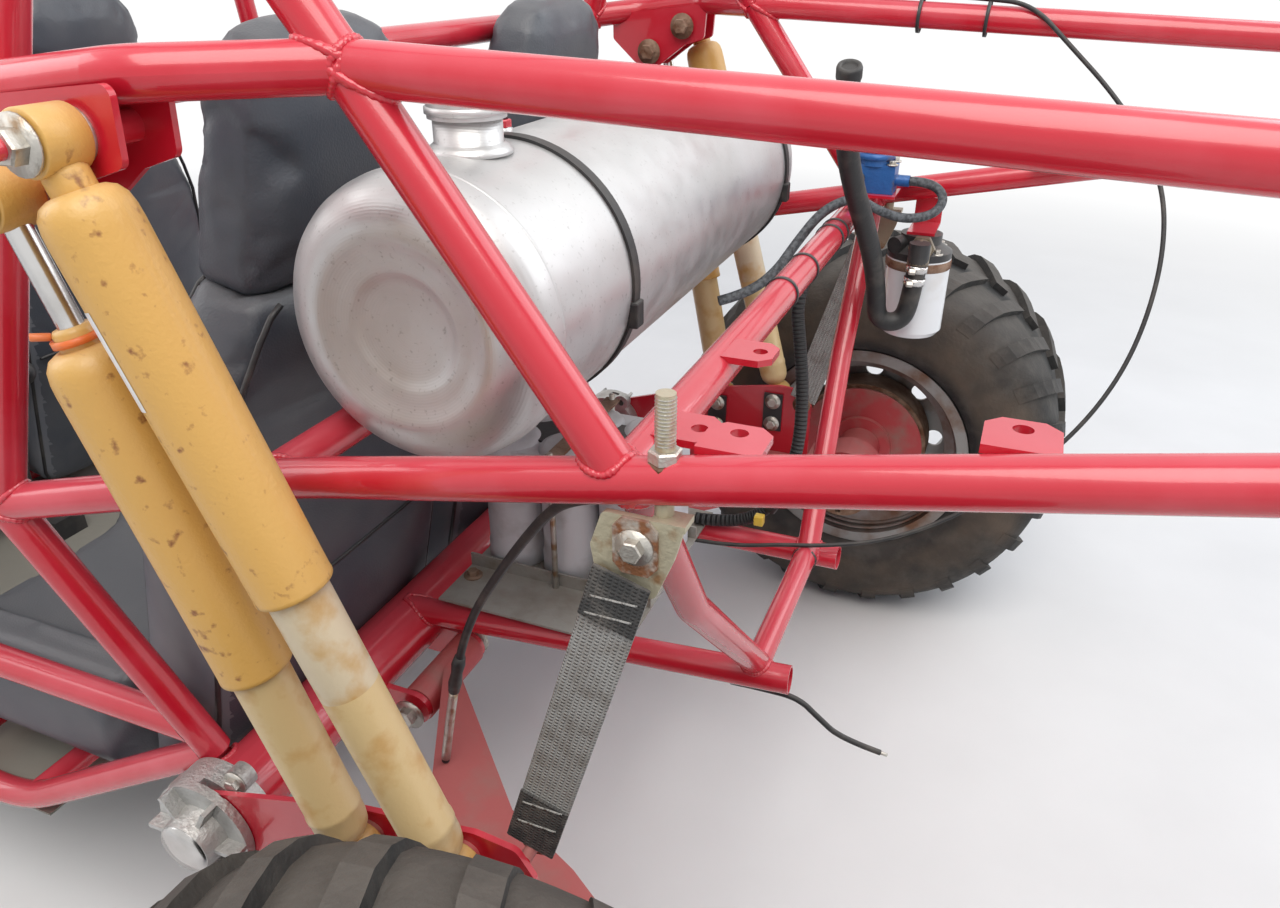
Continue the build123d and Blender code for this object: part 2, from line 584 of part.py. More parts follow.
# Two hanger plates under the bent rail hold the shock tops, with a spacer round each bolt
HANGER_OUTLINE = [(92, 1150), (252, 1133), (252, 1096), (214, 1062), (196, 1056), (172, 1058),
                  (128, 1090), (96, 1100)]
HANGER_IN_Y = 534
HANGER_OUT_Y = 577
for side, label in SIDES:
    hanger = upright(HANGER_OUTLINE, HANGER_IN_Y, PLATE, 8) + upright(HANGER_OUTLINE, HANGER_OUT_Y, PLATE, 8)
    for x, z in [(row[0], row[1]) for row in REAR_SHOCKS]:
        hanger += crossbolt(x, HANGER_IN_Y, HANGER_OUT_Y, z, 11)
        hanger += crossbolt(x, HANGER_IN_Y - 8, SHOCK_TOP_Y + EYE_HALF + 24, z, SHOCK_BOLT_R)
        hanger += crossbolt(x, HANGER_IN_Y - 8, HANGER_IN_Y, z, 12)
    for other in cutters:
        if near(sided(hanger, side), other):
            hanger = hanger - sided(other, side)
    nodes.setdefault("shock_hangers", []).append(sided(largest(hanger), side))

# Limit straps between the side rails and the spring plates, each from a shackle plate on a stud
STUD = (-228, 487)
SHACKLE = [(-248, 872), (-186, 872), (-176, 842), (-182, 806), (-226, 806), (-240, 842)]
for side, label in SIDES:
    stud = disc((STUD[0], STUD[1], 872), UP, BOLT_R + 1, 92)
    stud -= tube(stretched([RAIL_END, (100, 487, 832)], 5), MAIN_TUBE + 2 * SEAT_GAP)
    lower_stud = min(stud.solids(), key=lambda solid: solid.center().Z)
    upper_stud = max(stud.solids(), key=lambda solid: solid.center().Z)
    shackle = upright(SHACKLE, STUD[1] + 8, PLATE, 6) + block((-248, 481, 867), (-222, 495 + PLATE, 872))
    shackle += crossbolt(-212, STUD[1] + 8, STUD[1] + 26, 850, BOLT_R)
    nodes.setdefault("strap_shackles", []).extend(
        [sided(largest(shackle + lower_stud), side), sided(upper_stud, side)])
    strap_line = Vector(*STRAP_LOW) - Vector(*STRAP_TOP)
    face = Plane(origin=STRAP_TOP, x_dir=(1, 0, 0), z_dir=strap_line)
    strap = extrude(face * Rectangle(STRAP_WIDTH, STRAP_THICK), strap_line.length)
    nodes.setdefault("limit_straps", []).append(sided(strap, side))


# Wheels

def tyre(rim_width, width, radius):
    """A hollow tyre about Z: bead, sidewall, shoulder and crown."""
    def ring(inset):
        w = width / 2 - inset
        r = radius - inset
        bead = rim_width / 2 - SEAT_GAP - inset
        belly = BEAD_R + 0.45 * (r - BEAD_R)
        side_line = [(BEAD_R + SEAT_GAP, bead), (FLANGE_R + 2, bead), (FLANGE_R + 8, w - 14), (belly, w),
                     (r - 42, w - 18), (r - 12, w - 44), (r, w - 80)]
        return turned([(a, -b) for a, b in side_line] + side_line[::-1], (0, 0, 0), UP)
    return ring(0) - ring(TYRE_WALL)


def rim(width, face):
    """A drop-centre rim about Z, with its dished disc at a height and a ring of round holes."""
    w = width / 2
    drop = BEAD_R - 28
    outer = [(FLANGE_R, w + 5), (FLANGE_R, w), (BEAD_R, w), (BEAD_R, w - 28), (drop, w - 42)]
    inner = [(drop - RIM_WALL, w - 44), (BEAD_R - RIM_WALL, w - 30), (BEAD_R - RIM_WALL, w + 5)]
    outline = ([(r, -z) for r, z in outer] + outer[::-1] + inner[::-1] + [(r, -z) for r, z in inner])
    body = turned(outline, (0, 0, 0), UP)
    body += turned([(40, face), (96, face), (112, face + 14), (drop - 2, face + 14), (drop - 2, face + 20),
                    (110, face + 20), (94, face + 6), (40, face + 6)], (0, 0, 0), UP)
    return body - PolarLocations(132, RIM_HOLES) * Cylinder(RIM_HOLE_R, 400)


def on_axle(centre, pieces):
    """Turn pieces from Z to the axle line and place them."""
    return [Pos(*centre) * Rot(-90, 0, 0) * piece for piece in pieces]


for side, label in SIDES:
    rear = (REAR_AXLE_X, REAR_WHEEL_Y, REAR_AXLE_Z)
    front = (FRONT_AXLE_X, FRONT_WHEEL_Y, FRONT_AXLE_Z)
    rear_tyre, rear_rim = on_axle(rear, [tyre(REAR_RIM_WIDTH, REAR_TYRE_WIDTH, REAR_TYRE_R),
                                         rim(REAR_RIM_WIDTH, REAR_FACE)])
    front_tyre, front_rim = on_axle(front, [tyre(FRONT_RIM_WIDTH, FRONT_TYRE_WIDTH, FRONT_TYRE_R),
                                            rim(FRONT_RIM_WIDTH, FRONT_FACE)])

    # The drum, its shaft through the carrier and the drive flange at the shaft's inner end
    flange_low = carrier_in - 22 - drum_face
    drum = turned([(AXLE_R, -DRUM_DEPTH), (DRUM_R, -DRUM_DEPTH), (DRUM_R, 0), (0, 0), (0, flange_low),
                   (DRIVE_FLANGE_R, flange_low), (DRIVE_FLANGE_R, flange_low + 12), (AXLE_R, flange_low + 12)],
                  (REAR_AXLE_X, drum_face, REAR_AXLE_Z), ACROSS)
    drum -= turned([(AXLE_R + 6, -DRUM_DEPTH - 10), (DRUM_R - 10, -DRUM_DEPTH - 10), (DRUM_R - 10, -8),
                    (AXLE_R + 6, -8)], (REAR_AXLE_X, drum_face, REAR_AXLE_Z), ACROSS)
    drum += crossbolt(REAR_AXLE_X, drum_face - 1, drum_face + 27, REAR_AXLE_Z, 34)
    holes_at = Plane(origin=(REAR_AXLE_X, drum_face + flange_low + 6, REAR_AXLE_Z), z_dir=ACROSS)
    for place in PolarLocations(FLANGE_PCD / 2, 6):
        drum -= holes_at * place * Cylinder(FLANGE_HOLE_R, 30)
    nodes["rear_tyre_" + label] = [sided(rear_tyre, side)]
    nodes["rear_rim_" + label] = [sided(rear_rim, side)]
    nodes["rear_drum_" + label] = [sided(drum, side)]

    spindle_r = 14
    hub_face = FRONT_WHEEL_Y + FRONT_FACE - SEAT_GAP
    hub_at = (FRONT_AXLE_X, hub_face, FRONT_AXLE_Z)
    hub = turned([(spindle_r, -52), (110, -52), (110, 0), (spindle_r, 0)], hub_at, ACROSS)
    hub -= turned([(30, -60), (101, -60), (101, -8), (30, -8)], hub_at, ACROSS)
    hub += crossbolt(FRONT_AXLE_X, hub_face - 1, hub_face + 29, FRONT_AXLE_Z, 34)
    hub -= crossbolt(FRONT_AXLE_X, hub_face - 80, hub_face + 15, FRONT_AXLE_Z, spindle_r + RUN_GAP)
    nodes["front_tyre_" + label] = [sided(front_tyre, side)]
    nodes["front_rim_" + label] = [sided(front_rim, side)]
    nodes["front_hub_" + label] = [sided(hub, side)]

    # The knuckle turns on its kingpin between the two trailing arms
    arm_low = RACK_Z + 14
    arm_thick = 14
    knuckle = crossbolt(FRONT_AXLE_X, KINGPIN_Y, hub_face + 12, FRONT_AXLE_Z, spindle_r)
    knuckle += crossbolt(FRONT_AXLE_X, KINGPIN_Y + 14, KINGPIN_Y + 44, FRONT_AXLE_Z, 24)
    knuckle += disc((FRONT_AXLE_X, KINGPIN_Y, FRONT_AXLE_Z - 62), UP, 19, 124)
    knuckle += disc((FRONT_AXLE_X, KINGPIN_Y, FRONT_AXLE_Z - 100), UP, KINGPIN_R, 200)
    knuckle += level([(FRONT_AXLE_X - STEER_ARM, KINGPIN_Y - 44), (FRONT_AXLE_X - 24, KINGPIN_Y - 44),
                      (FRONT_AXLE_X, KINGPIN_Y - 18), (FRONT_AXLE_X, KINGPIN_Y), (FRONT_AXLE_X - 18, KINGPIN_Y),
                      (FRONT_AXLE_X - 34, KINGPIN_Y - 18), (FRONT_AXLE_X - STEER_ARM, KINGPIN_Y - 18)],
                     arm_low, arm_thick)
    knuckle += disc((FRONT_AXLE_X - STEER_ARM, KINGPIN_Y - 31, arm_low), UP, 15, arm_thick)
    nodes["knuckle_" + label] = [sided(knuckle, side)]

# Front beam with its towers, trailing arms and shocks
FRONT_SHOCK_X = BEAM_X + 65
FRONT_SHOCK_TOP = (FRONT_SHOCK_X, 580, FRONT_AXLE_Z + 282)
FRONT_SHOCK_LOW = (FRONT_SHOCK_X, 590, BEAM_HEIGHTS[0] + 12)
TOWER_Y = 546
TOWER_THICK = 8
LINK_THICK = 26
nodes["front_beam"] = [crossbolt(BEAM_X, -BEAM_HALF, BEAM_HALF, z, BEAM_TUBE / 2) for z in BEAM_HEIGHTS]
for side, label in SIDES:
    for z in BEAM_HEIGHTS:
        low = z - LINK_THICK / 2
        link = crossbolt(BEAM_X, BEAM_HALF + SEAT_GAP, BEAM_HALF + 34, z, 28)
        link += level([(BEAM_X, BEAM_HALF + 6), (BEAM_X, BEAM_HALF + 34), (FRONT_AXLE_X + 20, KINGPIN_Y + 4),
                       (FRONT_AXLE_X - 16, KINGPIN_Y), (FRONT_AXLE_X - 16, KINGPIN_Y - 20)], low, LINK_THICK)
        link += disc((FRONT_AXLE_X, KINGPIN_Y, low), UP, 22, LINK_THICK)
        link -= disc((FRONT_AXLE_X, KINGPIN_Y, z - 40), UP, KINGPIN_R + RUN_GAP, 80)
        link -= disc((FRONT_AXLE_X, KINGPIN_Y, FRONT_AXLE_Z - 62 - SEAT_GAP), UP, 26, 124 + 2 * SEAT_GAP)
        if z == BEAM_HEIGHTS[0]:
            x, y, bolt_z = FRONT_SHOCK_LOW
            link += upright([(BEAM_X, z - 20), (x + 12, bolt_z - 18), (x + 20, bolt_z), (x + 12, bolt_z + 16),
                             (BEAM_X, z + 26)], BEAM_HALF + 28, PLATE + 1)
            link += crossbolt(x, y - 22, BEAM_HALF + 30, bolt_z, SHOCK_BOLT_R)
        nodes.setdefault("front_arms", []).append(sided(largest(link), side))

    x, y, z = FRONT_SHOCK_TOP
    tower = upright([(BEAM_X - 34, BEAM_HEIGHTS[0] - 44), (BEAM_X + 34, BEAM_HEIGHTS[0] - 44),
                     (BEAM_X + 36, BEAM_HEIGHTS[1] + 40), (x + 26, z - 30), (x + 26, z + 22), (x - 50, z + 22),
                     (BEAM_X - 34, BEAM_HEIGHTS[1] + 40)], TOWER_Y, TOWER_THICK)
    for height in BEAM_HEIGHTS:
        tower -= crossbolt(BEAM_X, TOWER_Y - 20, TOWER_Y + 40, height, BEAM_TUBE / 2 + SEAT_GAP)
    tower += crossbolt(x, TOWER_Y + 2, y + 22, z, SHOCK_BOLT_R)
    nodes["front_beam"].append(sided(tower, side))
    front_damper = damper(FRONT_SHOCK_TOP, FRONT_SHOCK_LOW, 0.08, 0.55, 21, 17, 16, 14)
    nodes.setdefault("front_shocks", []).append(sided(front_damper, side))

# Steering rack, column and wheel
BAR_OUT = 80
TIE_R = 8
rack_body = crossbolt(RACK_X, -RACK_HALF, RACK_HALF, RACK_Z, 24)
rack_body -= crossbolt(RACK_X, -RACK_HALF - 5, RACK_HALF + 5, RACK_Z, 11 + RUN_GAP)
rack_body += block((RACK_X - 14, -60, FLOOR_Z + BRACE_TUBE / 2 + SEAT_GAP), (RACK_X + 14, 60, RACK_Z - 22))
nodes["rack_bar"] = [crossbolt(RACK_X, -RACK_HALF - BAR_OUT, RACK_HALF + BAR_OUT, RACK_Z, 11)]
tie_start = RACK_HALF + BAR_OUT + SEAT_GAP
tie_end = KINGPIN_Y - 31
for side, label in SIDES:
    tie = crossbolt(RACK_X, tie_start, tie_end - 6, RACK_Z, TIE_R)
    tie += disc((RACK_X, tie_end, RACK_Z - 12), UP, 13, 24)
    nodes.setdefault("tie_rods", []).append(sided(tie, side))

PINION = (RACK_X, PINION_Y, RACK_Z)
axis = Vector(*COLUMN_TOP) - Vector(*PINION)
unit = axis.normalized()
column = Plane(origin=COLUMN_TOP, z_dir=axis)
shaft_start = Vector(*PINION) + unit * PINION_REACH
nodes["steering_shaft"] = [disc(shaft_start, axis, SHAFT_R, axis.length - PINION_REACH - HUB_BACK - SEAT_GAP)]
pinion_tower = disc(PINION, axis, 19, PINION_REACH - SEAT_GAP)
pinion_tower -= crossbolt(RACK_X, 0, 300, RACK_Z, 23)
nodes["rack_housing"] = [rack_body + pinion_tower]

# A bearing plate hangs from the dash bar
bearing_x = DASH_NODE[0] + DASH_THICK
bearing = Vector(*PINION) + axis * ((RACK_X - bearing_x) / (RACK_X - COLUMN_TOP[0]))
hanger = disc(bearing - unit * 15, axis, 24, 30)
hanger += block((bearing_x - 3, bearing.Y - 10, bearing.Z),
                (bearing_x + 3, bearing.Y + 10, DASH_NODE[2] - MAIN_TUBE / 2 - 1))
hanger -= disc(bearing - unit * 60, axis, SHAFT_R + RUN_GAP, 120)
weld_in("cockpit_frame", largest(hanger))

WHEEL_GRIP_R = 13
WHEEL_DISH = 30
hub_height = 15 + HUB_BACK
spokes = column * (Pos(0, 0, hub_height - HUB_BACK) * Cylinder(24, 2 * hub_height))
for angle in (90, 210, 330):
    spoke = Pos(WHEEL_R / 2 + 8, 0, WHEEL_DISH) * Box(WHEEL_R - 10, 26, 5)
    spokes += column * (Rot(0, 0, angle) * spoke)
grip = column * (Pos(0, 0, WHEEL_DISH) * Torus(WHEEL_R, WHEEL_GRIP_R))
nodes["steering_wheel"] = [largest(spokes + grip)]


def seat(x0, y0):
    """A bucket seat: cushion, back with side bolsters, and headrest, as three soft solids."""
    w = SEAT_WIDTH / 2
    bucket = [(-w, 0), (w, 0), (w, -118), (w - 42, -130), (w - 88, -74), (88 - w, -74), (42 - w, -130), (-w, -118)]
    lean = Vector(-sin(radians(SEAT_LEAN)), 0, cos(radians(SEAT_LEAN)))
    forward = Vector(cos(radians(SEAT_LEAN)), 0, sin(radians(SEAT_LEAN)))
    foot = Vector(x0 + SEAT_BACK_X + 40, y0, SEAT_BASE_Z + 20)
    across = Plane(origin=foot, x_dir=Vector(0, 1, 0), z_dir=lean)
    back = extrude(across * outline_face(bucket), SEAT_BACK_LENGTH)
    head_low = foot + lean * (SEAT_BACK_LENGTH + SEAT_GAP) + forward * 40
    head_plane = Plane(origin=head_low, x_dir=Vector(0, 1, 0), z_dir=lean)
    head = extrude(head_plane * RectangleRounded(SEAT_HEAD_WIDTH, 78, 25), SEAT_HEAD_LENGTH)
    pan = [(-w, 0), (w, 0), (w, 176), (w - 40, 186), (w - 84, 122), (84 - w, 122), (40 - w, 186), (-w, 176)]
    start = foot + forward * 130
    plane = Plane(origin=(start.X + SEAT_GAP, y0, SEAT_BASE_Z), x_dir=(0, 1, 0), z_dir=(1, 0, 0))
    cushion = extrude(plane * outline_face(pan), SEAT_CUSHION_LENGTH)
    return [cushion, back, head]


# Seats: node, place along the car, side
SEATS = [("seat_rear_left", 0, 1), ("seat_rear_right", 0, -1),
         ("seat_front_left", SEAT_PITCH, 1), ("seat_front_right", SEAT_PITCH, -1)]
for name, x, side in SEATS:
    nodes[name] = seat(x, side * SEAT_Y)

# Battery with six round cells on a tray that lies on the horns
TRAY_HALF_X = 134
TRAY_HALF_Y = 172
tray_low = (BATTERY_X - TRAY_HALF_X, -TRAY_HALF_Y, TRAY_Z)
tray = block(tray_low, (BATTERY_X + TRAY_HALF_X, TRAY_HALF_Y, TRAY_Z + TRAY_THICK))
for side, label in SIDES:
    y = BATTERY_Y + side * (CELL_PITCH + 4)
    tray += block((tray_low[0], min(y, y + side * 3), TRAY_Z), (BATTERY_X + TRAY_HALF_X, max(y, y + side * 3), TRAY_Z + 22))
weld_in("battery_tray", tray)
battery_z = TRAY_Z + TRAY_THICK + SEAT_GAP
battery = block((BATTERY_X - 1.5 * CELL_PITCH + 12, BATTERY_Y - CELL_PITCH + 12, battery_z),
                (BATTERY_X + 1.5 * CELL_PITCH - 12, BATTERY_Y + CELL_PITCH - 12, battery_z + BATTERY_HEIGHT))
for column_x in (-1, 0, 1):
    for row_y in (-0.5, 0.5):
        cell = (BATTERY_X + column_x * CELL_PITCH, BATTERY_Y + row_y * CELL_PITCH, battery_z)
        battery += disc(cell, UP, CELL_R, BATTERY_HEIGHT)
nodes["battery"] = [battery]

# Oil filter under its cast head, on an angle bracket from the far side rail
fx, fy = FILTER_AT
nodes["oil_filter"] = [turned([(0, 0), (FILTER_R - 6, 0), (FILTER_R, 8), (FILTER_R, FILTER_HEIGHT), (0, FILTER_HEIGHT)],
                              (fx, fy, FILTER_LOW_Z), UP)]
head_z = FILTER_LOW_Z + FILTER_HEIGHT + SEAT_GAP
HEAD_HEIGHT = 34
filter_head = turned([(0, 0), (FILTER_R, 0), (FILTER_R, 10), (30, 20), (30, HEAD_HEIGHT), (0, HEAD_HEIGHT)],
                     (fx, fy, head_z), UP)
elbow_z = head_z + 20
filter_head += disc((fx - 6, fy, elbow_z), ACROSS, 13, 66)
filter_head += disc((fx - 6, fy + 66, elbow_z - 17), UP, 15, 32)
filter_head += disc((fx + 16, fy, elbow_z), (0.5, 1, 0), 12, 40)
nodes["filter_head"] = [filter_head]
bracket_z = head_z + HEAD_HEIGHT + SEAT_GAP
filter_bracket = block((fx - 20, -494, bracket_z), (fx + 20, fy + 20, bracket_z + 4))
filter_bracket += block((fx - 20, -494, bracket_z), (fx + 20, -490, bracket_z + 40))
weld_in("rear_cage", filter_bracket)
pump_x, pump_y = PUMP_AT
pump_bracket_z = NODE_B[2] + MAIN_TUBE / 2 + WELD_GAP
pump_bracket = block((pump_x - 36, pump_y - 30, pump_bracket_z), (pump_x + 36, pump_y + 30, pump_bracket_z + 4))
weld_in("rear_cage", pump_bracket)
pump_low = pump_bracket_z + 4 + SEAT_GAP
half_pump = PUMP_SIZE / 2
pump = block((pump_x - half_pump, pump_y - 20, pump_low), (pump_x + half_pump, pump_y + 20, pump_low + 40))
pump += disc((pump_x, pump_y, pump_low + 38), UP, 24, 18)
pump += disc((pump_x - half_pump + 2, pump_y + 4, pump_low + 18), (-1, 0, 0), 8, 22)
nodes["fuel_pump"] = [pump]

# Hoses and cables: node, diameter, points from the exit to the far end
CORDS = [
    ("oil_hose", 28, [(-293, -372, 819.6), (-290, -370, 779), (-286, -366, 747.7), (-274.3, -362, 736),
                      (-257.7, -356, 736), (-246, -352, 747.7), (-243.5, -346, 780), (-237, -325, 832),
                      (-229, -270, 893), (-216, -228, 950), (-207, -196, 1005), (-206, -172, 1060),
                      (-209, -152, 1104)]),
    ("fuel_hose", 13, [(-263.4, -406, 931), (-292, -408, 932), (-316, -402, 914), (-306, -384, 892),
                       (-268, -364, 886), (-232, -338, 902), (-206, -300, 927), (-172, -256, 915),
                       (-150, -212, 880), (-134, -170, 848), (-106, -140, 826), (-74, -120, 818)]),
    ("throttle_cable", 6, [(-70, -478, 1172), (-130, -481, 1172), (-190, -480, 1169), (-256, -481, 1168),
                           (-322, -480, 1165), (-385, -466, 1160), (-440, -450, 1112), (-498, -420, 1063),
                           (-549, -390, 1008), (-581, -360, 954), (-594, -330, 895), (-594, -300, 829),
                           (-582, -270, 760), (-557, -240, 701), (-520, -215, 645), (-464, -190, 583),
                           (-394, -166, 528), (-318, -140, 493), (-240, -118, 480), (-184, -109, 474),
                           (-130, -102, 463), (-72, -98, 458), (-20, -96, 458)]),
    ("wiring_loom", 18, [(-168, -236, 862), (-152, -226, 800), (-166, -214, 736), (-178, -200, 676),
                         (-184, -180, 608), (-176, -162, 545), (-148, -148, 496), (-100, -138, 474),
                         (-48, -132, 474)]),
    ("trailing_lead", 7, [(-190, 142, 427.5), (-240, 141, 429.6), (-275, 139, 426), (-300, 138, 404),
                          (-328, 136, 380), (-376, 125, 364)]),
    ("clutch_cable", 9, [(-185, 476, 869), (-150, 476, 862), (-104, 440, 812), (-34, 392, 716),
                         (34, 356, 610), (66, 352, 510), (80, 364, 402)]),
]


def turn_of(before, corner, after):
    """How far a route turns at a point, in degrees."""
    return (corner - before).get_angle(after - corner)


def cord(points, diameter):
    """A round cord along its runs, each arc as large as its two runs allow."""
    places = [Vector(*p) for p in points]
    radii = []
    for before, corner, after in zip(places, places[1:], places[2:]):
        shorter = min((corner - before).length, (after - corner).length)
        radii.append(0.45 * shorter / tan(radians(turn_of(before, corner, after)) / 2))
    path = FilletPolyline(*places, radius=radii)
    start = Plane(origin=path @ 0, z_dir=path % 0)
    return sweep(start * Circle(diameter / 2), path=path), path.length, min(radii)


for name, diameter, points in CORDS:
    solid, length, tightest = cord(points, diameter)
    nodes[name] = [solid]
    print(f"{name}: length {length:.0f}, tightest arc {tightest:.0f}, volume over section"
          f" {solid.volume / (3.14159265 * (diameter / 2) ** 2 * length):.4f}")

# Pieces are shifted to the part's own origin and written, one file to a node
os.makedirs("parts", exist_ok=True)
for name, pieces in nodes.items():
    shape = pieces[0] if len(pieces) == 1 else Compound(children=list(pieces))
    export_step(Pos(SHIFT_X, 0, LIFT) * shape, "parts/" + name + ".step")
print("nodes", len(nodes), "shift", SHIFT_X)
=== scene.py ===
"""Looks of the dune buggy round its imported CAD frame.

The frame drawing's millimetres are used for every place: +X forward, +Y left, +Z up.
"""
import math

import bpy
from mathutils import Matrix, Vector
from mathutils.kdtree import KDTree


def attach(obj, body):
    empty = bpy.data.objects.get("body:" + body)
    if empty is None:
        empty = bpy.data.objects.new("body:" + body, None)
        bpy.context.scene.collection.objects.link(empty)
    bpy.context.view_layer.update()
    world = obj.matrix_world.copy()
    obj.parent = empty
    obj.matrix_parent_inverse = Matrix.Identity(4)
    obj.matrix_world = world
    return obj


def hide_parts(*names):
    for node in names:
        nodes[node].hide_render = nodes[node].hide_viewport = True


# From the frame drawing in millimetres to the part's own frame in metres
DRAWING_SHIFT = Vector((-912.775, 0, 12))

# The photo's camera
CAMERA_AT = (-1.3381, 1.0181, 1.2285)
CAMERA_YAW = 22.1       # degrees from -Y towards +X
CAMERA_PITCH = 27.732   # degrees below the horizon
CAMERA_LENS = 26.66
SENSOR = 36
PHOTO_SIZE = (1280, 908)

TUBE_R = 17.45
BRACE_R = 15.9

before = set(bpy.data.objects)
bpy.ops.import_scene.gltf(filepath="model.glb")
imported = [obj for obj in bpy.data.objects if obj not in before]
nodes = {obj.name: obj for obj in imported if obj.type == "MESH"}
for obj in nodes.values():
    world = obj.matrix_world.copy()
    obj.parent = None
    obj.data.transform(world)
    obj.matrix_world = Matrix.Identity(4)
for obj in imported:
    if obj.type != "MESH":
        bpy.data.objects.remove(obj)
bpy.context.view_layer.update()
scene = bpy.context.scene


# Materials

finishes = {}


def shader(name, rough, metal=0.0, coat=0.0):
    """A new finish: its node tree and its main shader."""
    material = bpy.data.materials.new(name)
    material.use_nodes = True
    finishes[name] = material
    main = material.node_tree.nodes["Principled BSDF"]
    main.inputs["Roughness"].default_value = rough
    main.inputs["Metallic"].default_value = metal
    main.inputs["Coat Weight"].default_value = coat
    return material.node_tree, main


def node(tree, kind, inputs=(), **settings):
    """A shader node with its settings; each input is a value or a socket to link."""
    made = tree.nodes.new("ShaderNode" + kind)
    for setting, value in settings.items():
        setattr(made, setting, value)
    for name, value in dict(inputs).items():
        if isinstance(value, bpy.types.NodeSocket):
            tree.links.new(value, made.inputs[name])
        else:
            made.inputs[name].default_value = value
    return made


def maths(tree, operation, first, second=0.5):
    """A sum, product or other function of two values or sockets."""
    return node(tree, "Math", {0: first, 1: second}, operation=operation).outputs["Value"]


def mixed(tree, first, second, factor):
    """A mix of two colours, each a value or a socket, by a factor socket."""
    first, second = [(*colour, 1) if isinstance(colour, tuple) else colour for colour in (first, second)]
    return node(tree, "Mix", {"A": first, "B": second, "Factor": factor}, data_type="RGBA").outputs["Result"]


def ramped(tree, value, low, high, top=1.0):
    """A value spread from 0 at low to top at high."""
    ends = {"Value": value, "From Min": low, "From Max": high, "To Max": top}
    return node(tree, "MapRange", ends).outputs["Result"]


def spot(tree):
    """The place on the object."""
    return node(tree, "TexCoord").outputs["Object"]


def noise(tree, scale, low, high, top=1.0):
    """Noise over the object, 0 below low and top above high."""
    texture = node(tree, "TexNoise", {"Vector": spot(tree), "Scale": scale, "Detail": 5})
    return ramped(tree, texture.outputs["Fac"], low, high, top)


def bumped(tree, main, height, strength, distance):
    """Add a bump to a shader."""
    ripple = node(tree, "Bump", {"Height": height, "Strength": strength, "Distance": distance})
    tree.links.new(ripple.outputs["Normal"], main.inputs["Normal"])


def coloured(tree, main, base, spots, spotted, dust_and_highlight, dust_and_highlight_share, low=0.3):
    """The base colour: spots by a factor socket, then a paler colour on what faces up, which is dust on most
    finishes and a painted highlight on the red paint.
    """
    normal = node(tree, "NewGeometry").outputs["Normal"]
    upward = node(tree, "SeparateXYZ", {"Vector": normal}).outputs["Z"]
    stained = mixed(tree, base, spots, spotted)
    dusted_and_highlit = mixed(tree, stained, dust_and_highlight, ramped(tree, upward, low, 1.0, dust_and_highlight_share))
    tree.links.new(dusted_and_highlit, main.inputs["Base Color"])
